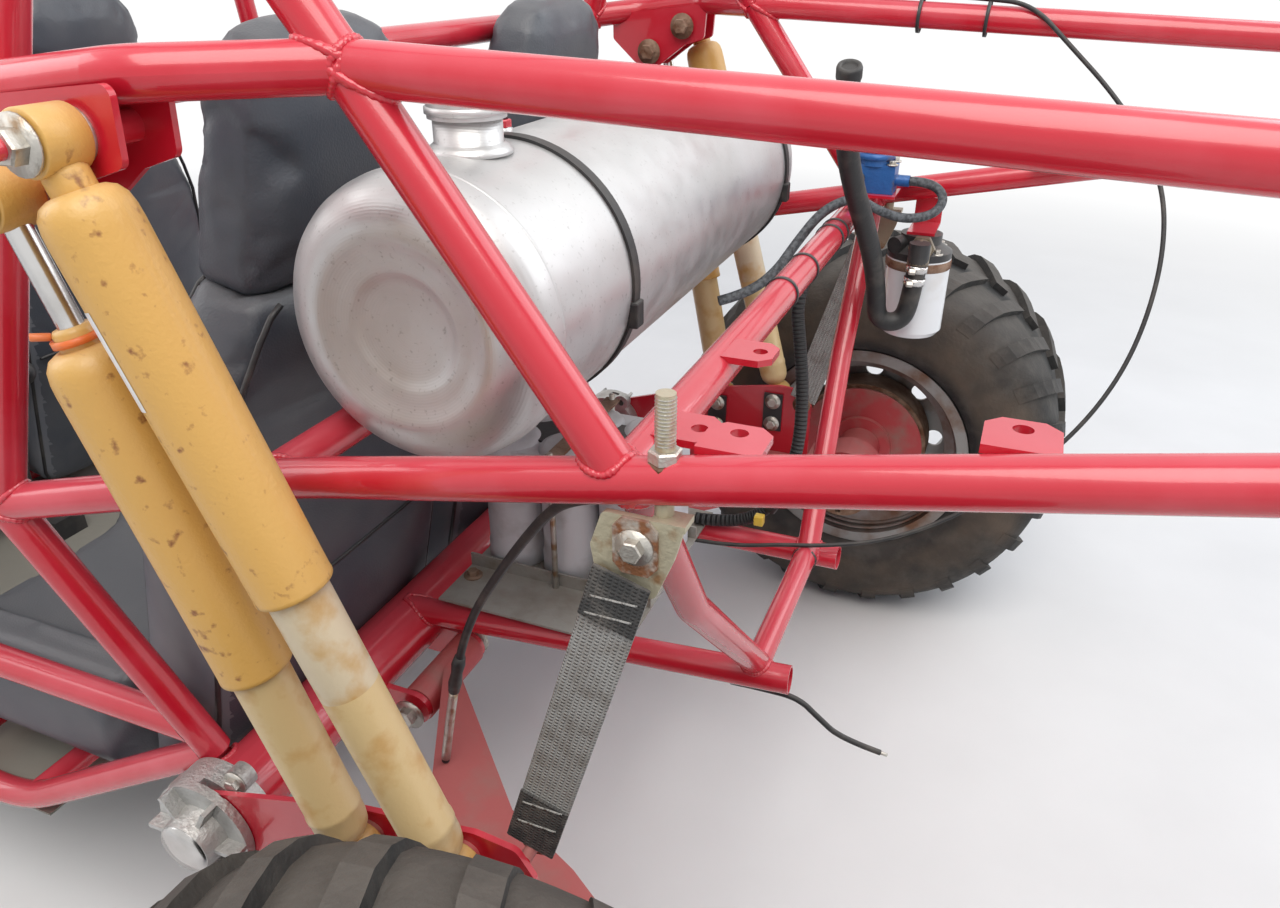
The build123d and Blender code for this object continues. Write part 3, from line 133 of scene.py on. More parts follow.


# Finishes: name, base, spots, spot scale, low, high, metal, rough, coat, bump, bump scale, dust colour, dust
# share (on the red paint a painted highlight)
FINISHES = [
    # The red paint's brighter red on what faces up is a painted highlight, not dust
    ("red_paint", (0.53, 0.01, 0.026), (0.64, 0.07, 0.1), 7, 0.5, 0.85, 0, 0.26, 0.5, 0.08, 60,
     (0.76, 0.16, 0.2), 0.28),
    ("red_worn", (0.42, 0.05, 0.055), (0.3, 0.13, 0.11), 18, 0.5, 0.7, 0, 0.5, 0, 0.2, 80,
     (0.56, 0.24, 0.22), 0.45),
    ("yellow_paint", (0.6, 0.34, 0.085), (0.22, 0.075, 0.02), 85, 0.62, 0.74, 0, 0.42, 0.1, 0.15, 300,
     (0.75, 0.52, 0.24), 0.5),
    ("pale_paint", (0.66, 0.55, 0.38), (0.55, 0.33, 0.12), 30, 0.5, 0.72, 0, 0.45, 0, 0.1, 200,
     (0.8, 0.72, 0.6), 0.4),
    ("cream_paint", (0.68, 0.5, 0.25), (0.55, 0.3, 0.09), 28, 0.52, 0.74, 0, 0.42, 0.1, 0.1, 200,
     (0.8, 0.68, 0.45), 0.4),
    ("rusty_steel", (0.14, 0.06, 0.03), (0.3, 0.2, 0.14), 40, 0.4, 0.62, 0.35, 0.7, 0, 0.6, 160,
     (0.36, 0.27, 0.2), 0.4),
    ("passivated", (0.47, 0.43, 0.31), (0.3, 0.17, 0.08), 34, 0.56, 0.7, 0.35, 0.5, 0, 0.25, 220,
     (0.55, 0.5, 0.4), 0.3),
    ("zinc_rusty", (0.46, 0.42, 0.37), (0.26, 0.11, 0.05), 60, 0.42, 0.56, 0.4, 0.55, 0, 0.35, 260,
     (0.5, 0.42, 0.34), 0.3),
    ("zinc", (0.5, 0.48, 0.44), (0.3, 0.2, 0.12), 60, 0.52, 0.7, 0.85, 0.42, 0, 0.2, 300,
     (0.5, 0.45, 0.38), 0.2),
    ("bright_steel", (0.62, 0.61, 0.6), (0.42, 0.4, 0.38), 20, 0.5, 0.8, 1, 0.22, 0, 0.05, 90,
     (0.5, 0.48, 0.45), 0.15),
    ("cast_aluminium", (0.5, 0.5, 0.49), (0.24, 0.22, 0.2), 24, 0.45, 0.75, 0.75, 0.5, 0, 0.4, 220,
     (0.55, 0.52, 0.48), 0.3),
    ("black_rubber", (0.014, 0.014, 0.015), (0.08, 0.07, 0.06), 30, 0.5, 0.8, 0, 0.55, 0, 0.1, 200,
     (0.14, 0.13, 0.12), 0.3),
    ("black_plastic", (0.02, 0.02, 0.022), (0.07, 0.065, 0.06), 20, 0.5, 0.8, 0, 0.4, 0, 0.1, 200,
     (0.16, 0.15, 0.14), 0.25),
    ("wheel_steel", (0.3, 0.29, 0.28), (0.17, 0.09, 0.055), 14, 0.46, 0.66, 0.7, 0.45, 0, 0.25, 90,
     (0.36, 0.3, 0.25), 0.35),
    ("grey_paint", (0.13, 0.13, 0.12), (0.2, 0.16, 0.11), 10, 0.4, 0.7, 0, 0.6, 0, 0.2, 100,
     (0.3, 0.28, 0.25), 0.4),
    ("floor_olive", (0.21, 0.205, 0.17), (0.3, 0.27, 0.22), 6, 0.4, 0.7, 0.1, 0.55, 0, 0.15, 60,
     (0.4, 0.38, 0.33), 0.5),
    ("webbing", (0.36, 0.355, 0.34), (0.24, 0.22, 0.2), 60, 0.45, 0.75, 0, 0.9, 0, 0, 100,
     (0.4, 0.38, 0.35), 0.3),
    ("webbing_dark", (0.05, 0.05, 0.05), (0.13, 0.12, 0.11), 60, 0.4, 0.7, 0, 0.9, 0, 0, 100,
     (0.16, 0.15, 0.14), 0.3),
    ("battery_pale", (0.62, 0.64, 0.67), (0.38, 0.36, 0.33), 12, 0.5, 0.75, 0, 0.4, 0, 0.05, 100,
     (0.6, 0.58, 0.55), 0.4),
    ("battery_grey", (0.6, 0.61, 0.63), (0.3, 0.29, 0.27), 14, 0.5, 0.75, 0, 0.4, 0, 0.05, 100,
     (0.5, 0.49, 0.47), 0.4),
    ("white_gloss", (0.76, 0.78, 0.8), (0.6, 0.57, 0.53), 12, 0.6, 0.85, 0, 0.18, 0.6, 0, 100,
     (0.7, 0.68, 0.65), 0.2),
    ("blue_paint", (0.02, 0.11, 0.34), (0.13, 0.08, 0.05), 50, 0.54, 0.7, 0.1, 0.4, 0, 0.3, 150,
     (0.16, 0.24, 0.4), 0.25),
    ("dusty_cast", (0.34, 0.33, 0.3), (0.2, 0.17, 0.13), 22, 0.45, 0.7, 0.3, 0.6, 0, 0.4, 160,
     (0.46, 0.44, 0.4), 0.4),
    ("brass", (0.32, 0.27, 0.2), (0.18, 0.15, 0.12), 40, 0.45, 0.7, 0.7, 0.45, 0, 0.2, 200,
     (0.4, 0.36, 0.3), 0.2),
    ("bushing", (0.55, 0.2, 0.03), (0.3, 0.12, 0.03), 50, 0.45, 0.7, 0, 0.5, 0, 0.2, 200,
     (0.6, 0.35, 0.15), 0.3),
    ("sticker_white", (0.78, 0.8, 0.82), (0.55, 0.5, 0.42), 40, 0.55, 0.75, 0, 0.3, 0, 0, 100,
     (0.7, 0.68, 0.65), 0.1),
    ("orange_plastic", (0.75, 0.16, 0.03), (0.6, 0.2, 0.08), 30, 0.5, 0.8, 0, 0.4, 0, 0, 100,
     (0.8, 0.3, 0.15), 0.1),
    ("yellow_plastic", (0.75, 0.5, 0.05), (0.5, 0.35, 0.08), 30, 0.5, 0.8, 0, 0.4, 0, 0, 100,
     (0.8, 0.6, 0.25), 0.1),
]
for name, base, spots, scale, low, high, metal, rough, coat, bump, bump_scale, dust_and_highlight, dust_and_highlight_share in FINISHES:
    tree, main = shader(name, rough, metal, coat)
    coloured(tree, main, base, spots, noise(tree, scale, low, high), dust_and_highlight, dust_and_highlight_share, low=0.25)
    if bump:
        bumped(tree, main, noise(tree, bump_scale, 0.3, 0.7), bump, 0.0015)


def place(x, y, z):
    """A point of the frame drawing in the part's frame."""
    return (Vector((x, y, z)) + DRAWING_SHIFT) / 1000


def radial(tree, x, z):
    """Distance in metres from an axle line across the car."""
    centre = place(x, 0, z)
    flat = node(tree, "VectorMath", {0: spot(tree), 1: (1, 0, 1), 2: (-centre.x, 0, -centre.z)},
                operation="MULTIPLY_ADD")
    return node(tree, "VectorMath", {0: flat.outputs["Vector"]}, operation="LENGTH").outputs["Value"]


def stripes(tree, direction, period, blunt):
    """A wave along a direction of the object, from 0 to 1, with its period in millimetres."""
    waves = Vector(direction).normalized() * (2000 * math.pi / period)
    along = node(tree, "VectorMath", {0: spot(tree), 1: waves}, operation="DOT_PRODUCT")
    return ramped(tree, maths(tree, "SINE", along.outputs["Value"]), -blunt, blunt)


# Spun aluminium: fine turning marks on the dished ends, stains and fine specks
TANK_X, TANK_Z, TANK_R = 30, 942, 127
TURNING = 2600      # radians of turning marks per metre
tree, main = shader("spun_aluminium", 0.5, metal=0.6)
stained = mixed(tree, (0.54, 0.54, 0.54), (0.43, 0.42, 0.41), noise(tree, 7, 0.45, 0.8))
specks = noise(tree, 240, 0.62, 0.72, top=0.6)
coloured(tree, main, stained, (0.26, 0.25, 0.24), specks, (0.66, 0.655, 0.64), 0.5, low=0.2)
tree.links.new(maths(tree, "ADD", noise(tree, 30, 0.3, 0.7, top=0.18), 0.3), main.inputs["Roughness"])
turned = maths(tree, "SINE", maths(tree, "MULTIPLY", radial(tree, TANK_X, TANK_Z), TURNING))
bumped(tree, main, turned, 0.08, 0.0003)

# Seat vinyl: grained, with a paler band along the sides of the back
tree, main = shader("seat_vinyl", 0.42)
coloured(tree, main, (0.052, 0.06, 0.075), (0.095, 0.1, 0.11), noise(tree, 8, 0.4, 0.75),
         (0.2, 0.2, 0.2), 0.5)
grain = node(tree, "TexVoronoi", {"Vector": spot(tree), "Scale": 420})
bumped(tree, main, grain.outputs["Distance"], 0.25, 0.0008)
tree, main = shader("seat_band", 0.5)
coloured(tree, main, (0.12, 0.13, 0.15), (0.17, 0.175, 0.185), noise(tree, 10, 0.4, 0.75),
         (0.27, 0.27, 0.27), 0.4)

# Tyres: black tread with dust, brown mud on the sidewall between two radii in metres
REAR_AXLE = (-200, 360)
FRONT_AXLE = (2700, 318)
TYRES = [("tyre_rear", REAR_AXLE, 0.235, 0.335), ("tyre_front", FRONT_AXLE, 0.225, 0.29)]
for name, axle, inner, outer in TYRES:
    tree, main = shader(name, 0.78)
    distance = radial(tree, *axle)
    ring = maths(tree, "MULTIPLY", ramped(tree, distance, inner - 0.015, inner + 0.01),
                 ramped(tree, distance, outer + 0.012, outer - 0.02))
    muddy = maths(tree, "MULTIPLY", ring, noise(tree, 10, 0.3, 0.7, top=0.8))
    rubber = mixed(tree, (0.018, 0.018, 0.018), (0.06, 0.056, 0.05), noise(tree, 30, 0.45, 0.75))
    coloured(tree, main, rubber, (0.105, 0.075, 0.052), muddy, (0.16, 0.14, 0.12), 0.45)
    bumped(tree, main, noise(tree, 180, 0.3, 0.7), 0.35, 0.0015)

# Webbing gets ribs along it and rows across it, the corrugated loom its rings
STRAP_ACROSS = (293, 0, 84)
STRAP_ALONG = (84, 9, -293)
for name in ("webbing", "webbing_dark"):
    tree = finishes[name].node_tree
    weave = maths(tree, "MULTIPLY", stripes(tree, STRAP_ACROSS, 5.1, 0.8),
                  stripes(tree, STRAP_ALONG, 3.4, 0.9))
    bumped(tree, tree.nodes["Principled BSDF"], weave, 1.0, 0.0016)
tree, main = shader("loom_plastic", 0.5)
main.inputs["Base Color"].default_value = (0.02, 0.02, 0.021, 1)
rings = node(tree, "TexWave", {"Vector": node(tree, "TexCoord").outputs["UV"], "Scale": 26})
bumped(tree, main, rings.outputs["Fac"], 1.0, 0.003)
tree, main = shader("braided_hose", 0.6)
tree.links.new(mixed(tree, (0.03, 0.033, 0.038), (0.1, 0.11, 0.12), noise(tree, 200, 0.4, 0.6)),
               main.inputs["Base Color"])


# Mesh building

ACROSS = (0, 1, 0)
UP = (0, 0, 1)


def placed(name, data, body="chassis"):
    """A new object that rides on a body."""
    thing = bpy.data.objects.new(name, data)
    scene.collection.objects.link(thing)
    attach(thing, body)
    return thing


def mesh_piece(name, points, faces, finish, body="chassis", smooth=False):
    """A mesh from points in the drawing's millimetres."""
    mesh = bpy.data.meshes.new(name)
    mesh.from_pydata([place(*p) for p in points], [], faces)
    mesh.materials.append(finishes[finish])
    for face in mesh.polygons:
        face.use_smooth = smooth
    return placed(name, mesh, body)


def build_sets(name, sets, finish, body="chassis", smooth=False, caps=True, closed=True):
    """Quads through each set of rings, all in one mesh, with flat ends where caps is true."""
    points = []
    faces = []
    for rings in sets:
        first = len(points)
        count = len(rings[0])
        points += [p for ring in rings for p in ring]
        for row in range(len(rings) - 1):
            start = first + row * count
            for column in range(count if closed else count - 1):
                after = (column + 1) % count
                faces.append((start + column, start + after, start + count + after, start + count + column))
        if caps:
            faces.append(tuple(first + k for k in reversed(range(count))))
            faces.append(tuple(first + (len(rings) - 1) * count + k for k in range(count)))
    return mesh_piece(name, points, faces, finish, body, smooth)


def build(name, rings, finish, body="chassis", closed=True, smooth=True):
    """A smooth skin through rings of points."""
    return build_sets(name, [rings], finish, body, smooth, caps=False, closed=closed)


def axes_of(direction):
    """Two unit vectors square to a direction."""
    along = Vector(direction).normalized()
    hint = Vector(UP) if abs(along.z) < 0.9 else Vector((1, 0, 0))
    across = along.cross(hint).normalized()
    return along, across, along.cross(across).normalized()


def ring_at(point, across, over, radius, steps):
    """A ring of points about a place, in the plane of two unit vectors."""
    turns = [2 * math.pi * k / steps for k in range(steps)]
    return [point + (across * math.cos(turn) + over * math.sin(turn)) * radius for turn in turns]


def join(name, things):
    """Join several meshes into one piece."""
    bpy.context.view_layer.objects.active = things[0]
    bpy.ops.object.select_all(action="DESELECT")
    for thing in things:
        thing.select_set(True)
    bpy.ops.object.join()
    things[0].name = name
    return things[0]


def stand_in(name, things, replaced):
    """One piece that is shown in place of a CAD node."""
    whole = join(name, things)
    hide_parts(replaced)


def lathe(name, outline, at, direction, finish, body="chassis", steps=32, smooth=True):
    """A turned piece from (radius, height) points along a line."""
    along, across, over = axes_of(direction)
    rings = [ring_at(Vector(at) + along * height, across, over, max(radius, 0.01), steps)
             for radius, height in outline]
    return build(name, rings, finish, body, smooth=smooth)


def bar(name, start, end, radius, finish, body="chassis", steps=24):
    """A straight round bar with closed ends."""
    length = (Vector(end) - Vector(start)).length
    edge = min(1.0, radius * 0.2)
    outline = [(0, 0), (radius - edge, 0), (radius, edge), (radius, length - edge), (radius - edge, length),
               (0, length)]
    return lathe(name, outline, start, Vector(end) - Vector(start), finish, body, steps)


def hex_piece(name, at, direction, radius, height, finish, body="chassis"):
    """A hexagonal head or nut with a chamfered top."""
    outline = [(0, 0), (radius, 0), (radius, height * 0.85), (radius * 0.88, height), (0, height)]
    return lathe(name, outline, at, direction, finish, body, steps=6, smooth=False)


def bolt(name, at, direction, radius, finish, body="chassis", stub=0):
    """A washer and a hexagonal head, with a thread end where stub is given."""
    along = Vector(direction).normalized()
    washer = [(0, 0), (radius * 1.6, 0), (radius * 1.6, 2), (0, 2)]
    things = [lathe(name, washer, at, direction, finish, body, 20),
              hex_piece(name, Vector(at) + along * 2, direction, radius, radius * 0.9, finish, body)]
    if stub:
        start = Vector(at) + along * (2 + radius * 0.9)
        things.append(bar(name, start, start + along * stub, radius * 0.5, finish, body, 12))
    return things


def path_frames(points, looped=False):
    """Tangent and two square directions at each point of a path, without twist."""
    places = [Vector(p) for p in points]
    frames = []
    across = None
    for index, point in enumerate(places):
        after = places[(index + 1) % len(places)] if looped or index + 1 < len(places) else point
        before = places[index - 1] if looped or index else point
        along = (after - before).normalized()
        if across is None:
            across = axes_of(along)[1]
        across = (across - along * across.dot(along)).normalized()
        frames.append((point, along, across, along.cross(across)))
    return frames


def swept(name, points, radius, finish, steps=12):
    """A round bar along a path; radius is a number or a function of the point's index."""
    rings = [[points[0]] * steps]
    for index, (point, along, across, over) in enumerate(path_frames(points)):
        rings.append(ring_at(point, across, over, radius(index) if callable(radius) else radius, steps))
    rings.append([points[-1]] * steps)
    return build(name, rings, finish)


def box_piece(name, low, high, finish, edge=1.0):
    """A box with small chamfered edges."""
    corners = [(x, y, z) for x in (low[0], high[0]) for y in (low[1], high[1]) for z in (low[2], high[2])]
    faces = [(0, 1, 3, 2), (4, 6, 7, 5), (0, 4, 5, 1), (2, 3, 7, 6), (0, 2, 6, 4), (1, 5, 7, 3)]
    thing = mesh_piece(name, corners, faces, finish)
    bevel = thing.modifiers.new("edges", "BEVEL")
    bevel.width = edge / 1000
    bevel.segments = 2
    return thing


def on_side(point, side):
    """A point of the car's left side, or its mirror image on the right."""
    return (point[0], side * point[1], point[2])


# CAD nodes that are shown as they are, by finish
WEARS = {
    "red_paint": ["main_hoop", "side_frame_left", "side_frame_right", "cockpit_frame", "lower_frame",
                  "nose_frame", "rear_cage", "torsion_housing", "shock_hangers"],
    "red_worn": ["rear_arms", "front_beam"],
    "rusty_steel": ["rear_drum_left", "rear_drum_right", "front_hub_left", "front_hub_right",
                    "knuckle_left", "knuckle_right"],
    "passivated": ["strap_shackles"],
    "zinc": ["rack_bar", "tie_rods", "steering_shaft", "pedals"],
    "cast_aluminium": ["torsion_covers", "rack_housing", "dash_panel"],
    "spun_aluminium": ["filler_cap"],
    "black_rubber": ["tank_bands"],
    "black_plastic": ["steering_wheel", "gear_lever", "filter_head"],
    "wheel_steel": ["rear_rim_left", "rear_rim_right", "front_rim_left", "front_rim_right"],
    "grey_paint": ["front_arms"],
    "dusty_cast": ["battery_tray"],
    "floor_olive": ["floor_pan"],
    "white_gloss": ["oil_filter"],
    "blue_paint": ["fuel_pump"],
    "yellow_paint": ["front_shocks"],
}
for finish, names in WEARS.items():
    for name in names:
        nodes[name].data.materials.clear()
        nodes[name].data.materials.append(finishes[finish])

# The spring plates keep a brighter red than the arms; their place across the car in metres
PLATE_Y = (0.5268, 0.5345)
arms = nodes["rear_arms"]
arms.data.materials.append(finishes["red_paint"])
for face in arms.data.polygons:
    if PLATE_Y[0] < abs((arms.matrix_world @ face.center).y) < PLATE_Y[1]:
        face.material_index = 1

SIDES = ((1, "left"), (-1, "right"))


# Tyres

def lug_set(centre, side, count, slant, half_width, line, depth, shift):
    """Rings of bars across half of a tread; line is (offset, radius), shift turns them along the tread."""
    x, y, z = centre
    sets = []
    for index in range(count):
        start = 2 * math.pi * (index + shift) / count
        rings = []
        for offset, radius in line:
            angle = start + math.radians(slant) * offset / line[-1][0]
            ring = []
            for turn, r in ((-half_width, radius - depth), (-half_width, radius), (half_width, radius),
                            (half_width, radius - depth)):
                a = angle + turn / radius
                ring.append((x + r * math.sin(a), y + side * offset, z + r * math.cos(a)))
            rings.append(ring)
        sets.append(rings)
    return sets


# Half a carcass from bead to crown as (radius, offset), and a lug's line as (offset, radius)
REAR_TYRE = [(192, 151), (208.5, 152), (213, 166), (232, 178), (258, 184), (285, 183.5), (310, 176),
             (330, 163), (345, 144), (353, 118), (357, 80), (358.5, 40), (359, 0)]
REAR_LUG = [(6, 371), (40, 371.5), (80, 371), (112, 368), (138, 358), (156, 345), (168, 328), (175, 314)]
FRONT_TYRE = [(192, 62), (208.5, 63), (213, 73), (228, 79.5), (244, 80.5), (260, 78.5), (276, 76.5),
              (292, 73), (306, 65), (314, 56), (319, 44), (321, 30), (321.5, 0)]
FRONT_LUG = [(52, 324), (58, 321), (64, 314), (68.5, 305)]
RIBS_Y = (-38, -14, 14, 38)
# Each end of the car: name, axle, the tyre's middle, half its carcass, the line of a lug, how many lugs, and
# a lug's slant in degrees, half width and depth
TREADS = [("rear", REAR_AXLE, 823.5, REAR_TYRE, REAR_LUG, 26, 11, 14, 16),
          ("front", FRONT_AXLE, 830, FRONT_TYRE, FRONT_LUG, 44, 3, 9, 9)]
for side, label in SIDES:
    for end, (x, z), y, carcass, line, count, slant, half_width, depth in TREADS:
        body = f"{end}_wheel_{label}"
        finish = "tyre_" + end
        centre = (x, side * y, z)
        outline = carcass + [(r, -y) for r, y in reversed(carcass)]
        parts = [lathe("carcass", outline, centre, ACROSS, finish, body, steps=96)]
        lugs = []
        for way, shift in ((1, 0), (-1, 0.5)):
            lugs += lug_set(centre, way, count, slant, half_width, line, depth, shift)
        parts.append(build_sets("lugs", lugs, finish, body))
        if end == "front":
            for middle in RIBS_Y:
                rib = [(319, middle - 9), (329.5, middle - 7), (329.5, middle + 7), (319, middle + 9)]
                parts.append(lathe("rib", rib, centre, ACROSS, finish, body, steps=96, smooth=False))
        stand_in(f"{end}_tyre_shown_{label}", parts, f"{end}_tyre_{label}")

# Wheel nuts and hub caps: body, axle, the y of the wheel's face
NUT_CIRCLE = 66
CAP_R = 30
for body, (x, z), y in (("rear_wheel_", REAR_AXLE, 769.8), ("front_wheel_", FRONT_AXLE, 826.3)):
    for side, label in SIDES:
        outward = (0, side, 0)
        trim = []
        for index in range(5):
            angle = 2 * math.pi * index / 5
            at = (x + NUT_CIRCLE * math.cos(angle), side * y, z + NUT_CIRCLE * math.sin(angle))
            trim += bolt("wheel_nut", at, outward, 11, "zinc", body + label, 8)
        cap = [(CAP_R + 4, 6), (CAP_R + 4, 10), (CAP_R, 26), (CAP_R - 6, 31), (0, 32)]
        trim.append(lathe("hub_cap", cap, (x, side * y, z), outward, "rusty_steel", body + label, 32))
        join("wheel_trim_" + body + label, trim)

# Rings rolled into the wide rear rims, at distances from the rims' edges
REAR_RIM = (671, 976)
for side, label in SIDES:
    rings = []
    for y, radius in ((REAR_RIM[0] + 12, 186), (REAR_RIM[0] + 30, 184), (REAR_RIM[1] - 12, 186),
                      (REAR_RIM[1] - 30, 184)):
        ring = [(radius - 3, -5), (radius - 6, -2), (radius - 6, 2), (radius - 3, 5)]
        rings.append(lathe("rim_ring", ring, (REAR_AXLE[0], side * y, REAR_AXLE[1]), ACROSS, "wheel_steel",
                           "rear_wheel_" + label, steps=72))
    join("rim_rings_" + label, rings)


# Seats

def chaikin(points, passes):
    """Round a closed outline by cutting its corners."""
    for _ in range(passes):
        cut = []
        for index, (u, v) in enumerate(points):
            nu, nv = points[(index + 1) % len(points)]
            cut.append((0.75 * u + 0.25 * nu, 0.75 * v + 0.25 * nv))
            cut.append((0.25 * u + 0.75 * nu, 0.25 * v + 0.75 * nv))
        points = cut
    return points


SEAT_LEAN = math.radians(13)
SEAT_BASE_Z = 282.2
SEAT_Y = 245
BACK_LENGTH, HEAD_LENGTH, PAN_LENGTH = 640, 246, 399
# Outlines of the seat's three blocks as (across, forward or up)
BACK = [(-215, 0), (0, -2), (215, 0), (215, 60), (213, 118), (173, 130), (140, 100), (118, 74), (0, 68),
        (-118, 74), (-140, 100), (-173, 130), (-213, 118), (-215, 60)]
HEAD = [(-125, 0), (0, 0), (125, 0), (125, 39), (125, 78), (0, 82), (-125, 78), (-125, 39)]
PAN = [(-215, 0), (0, 0), (215, 0), (215, 100), (213, 176), (175, 186), (140, 150), (126, 122), (0, 116),
       (-126, 122), (-140, 150), (-175, 186), (-213, 176), (-215, 100)]
# Steps along each block: share of its length, width share, depth share
BACK_STEPS = [(0.0, 0.9, 0.9), (0.012, 0.97, 0.97), (0.04, 1, 1), (0.3, 1, 1), (0.55, 0.99, 1),
              (0.7, 0.96, 0.97), (0.8, 0.9, 0.9), (0.88, 0.8, 0.82), (0.95, 0.69, 0.74),
              (0.985, 0.62, 0.68), (1.0, 0.56, 0.6)]
HEAD_STEPS = [(0.0, 0.92, 0.9), (0.05, 1, 1), (0.4, 1.0, 1.0), (0.7, 0.95, 0.97), (0.86, 0.83, 0.88),
              (0.95, 0.66, 0.7), (0.99, 0.45, 0.4), (1.0, 0.1, 0.1)]
PAN_STEPS = [(0.0, 0.92, 0.9), (0.03, 1, 1), (0.5, 1, 1), (0.8, 1, 0.97), (0.93, 0.98, 0.9),
             (0.98, 0.95, 0.8), (1.0, 0.85, 0.66)]


def padded_rings(outline, steps, start, along, across, forward, length):
    """Rings of a soft block; each step is (share of the length, width share, depth share)."""
    section = chaikin(outline, 2)
    middle = sum(v for _, v in section) / len(section)
    rings = []
    for share, wide, deep in steps:
        at = start + along * (share * length)
        rings.append([at + across * (u * wide) + forward * (middle + (v - middle) * deep)
                      for u, v in section])
    low, high = [[sum(ring, Vector()) / len(ring)] * len(ring) for ring in (rings[0], rings[-1])]
    return [low] + rings + [high]


def swollen(thing, held):
    """Swell a soft block as cloth under air pressure; points near the held places stay.

    The block is remeshed first, and the swell is cut off at its largest value.
    """
    bpy.context.view_layer.objects.active = thing
    grid = thing.modifiers.new("grid", "REMESH")
    grid.mode = "VOXEL"
    grid.voxel_size = PAD_VOXEL
    bpy.ops.object.modifier_apply(modifier="grid")
    tree = KDTree(len(held))
    for index, point in enumerate(held):
        tree.insert(point, index)
    tree.balance()
    points = thing.data.vertices
    lowest = min(v.co.z for v in points)
    pins = thing.vertex_groups.new(name="seams")
    for vertex in points:
        if tree.find(vertex.co)[2] < PAD_SEAM or vertex.co.z < lowest + PAD_SEAM:
            pins.add([vertex.index], 1.0, "REPLACE")
    cloth = thing.modifiers.new("cloth", "CLOTH")
    cloth.settings.vertex_group_mass = "seams"
    cloth.settings.use_pressure = True
    cloth.settings.uniform_pressure_force = PAD_PRESSURE
    cloth.settings.effector_weights.gravity = 0
    for number in range(1, PAD_FRAMES + 1):
        scene.frame_set(number)
    solved = thing.evaluated_get(bpy.context.evaluated_depsgraph_get()).data.vertices
    moved = [after.co - before.co for before, after in zip(points, solved)]
    thing.modifiers.remove(cloth)
    thing.vertex_groups.remove(pins)
    for vertex, move in zip(points, moved):
        vertex.co += move * min(1, PAD_SWELL / max(move.length, PAD_SWELL))
    for face in thing.data.polygons:
        face.use_smooth = True
    scene.frame_set(1)


def seam_lines(foot, lean, forward, across):
    """The seams of a seat's back: along both edges of each side and across the middle of its rear."""
    lines = []
    for way in (1, -1):
        for steps, depth, grown, width in ((BACK_STEPS[1:], 12, 6, 209), (BACK_STEPS[2:], 72, 52, 193)):
            lines.append([foot + lean * (BACK_LENGTH * share) + forward * (depth + grown * deep)
                          + across * (way * width * wide) for share, wide, deep in steps])
    lines.append([foot + lean * 282 - forward + across * (40 * k) for k in range(-5, 6)])
    return lines


def filled(line, step):
    """Points along a line of places, about a step apart, in the part's frame."""
    points = []
    for start, end in zip(line, line[1:]):
        count = max(1, round((end - start).length / step))
        points += [place(*start.lerp(end, k / count)) for k in range(count + 1)]
    return points


# Padding: grid, half width of a held seam and largest swell in metres, air pressure, and frames solved
PAD_VOXEL = 0.007
PAD_SEAM = 0.006
PAD_SWELL = 0.007
PAD_PRESSURE = 4
PAD_FRAMES = 20
BAND_FROM = 0.196       # metres from the seat's middle to the paler sides
SEAT_ROWS = (("seat_rear_", 0), ("seat_front_", 900))
lean = Vector((-math.sin(SEAT_LEAN), 0, math.cos(SEAT_LEAN)))
forward = Vector((math.cos(SEAT_LEAN), 0, math.sin(SEAT_LEAN)))
across = Vector(ACROSS)
foot = Vector((330, SEAT_Y, SEAT_BASE_Z + 20))
head_foot = foot + lean * (BACK_LENGTH - 8) + forward * 40
pan_foot = Vector((foot.x + forward.x * 130, SEAT_Y, SEAT_BASE_Z))
lines = seam_lines(foot, lean, forward, across)
blocks = [("back", padded_rings(BACK, BACK_STEPS, foot, lean, across, forward, BACK_LENGTH)),
          ("head", padded_rings(HEAD, HEAD_STEPS, head_foot, lean, across, forward, HEAD_LENGTH)),
          ("pan", padded_rings(PAN, PAN_STEPS, pan_foot, Vector((1, 0, 0)), across, Vector(UP), PAN_LENGTH))]
pads = [build(name, rings, "seat_vinyl") for name, rings in blocks]
held = [point for line in lines for point in filled(line, 5)]
for pad in pads:
    swollen(pad, held)
band = pads[0].data
band.materials.append(finishes["seat_band"])
for face in band.polygons:
    if abs(face.center.y - SEAT_Y / 1000) > BAND_FROM:
        face.material_index = 1
pads += [swept("piping", line, 3.2, "black_plastic", steps=8) for line in lines]
first = join("seat_pads", pads)
for row, x in SEAT_ROWS:
    for side, label in SIDES:
        shift = Vector((x, side * SEAT_Y - SEAT_Y, 0)) / 1000
        whole = placed("seat", first.data.copy()) if shift.length else first
        whole.data.transform(Matrix.Translation(shift))
        whole.name = row + label + "_shown"
        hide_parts(row + label)


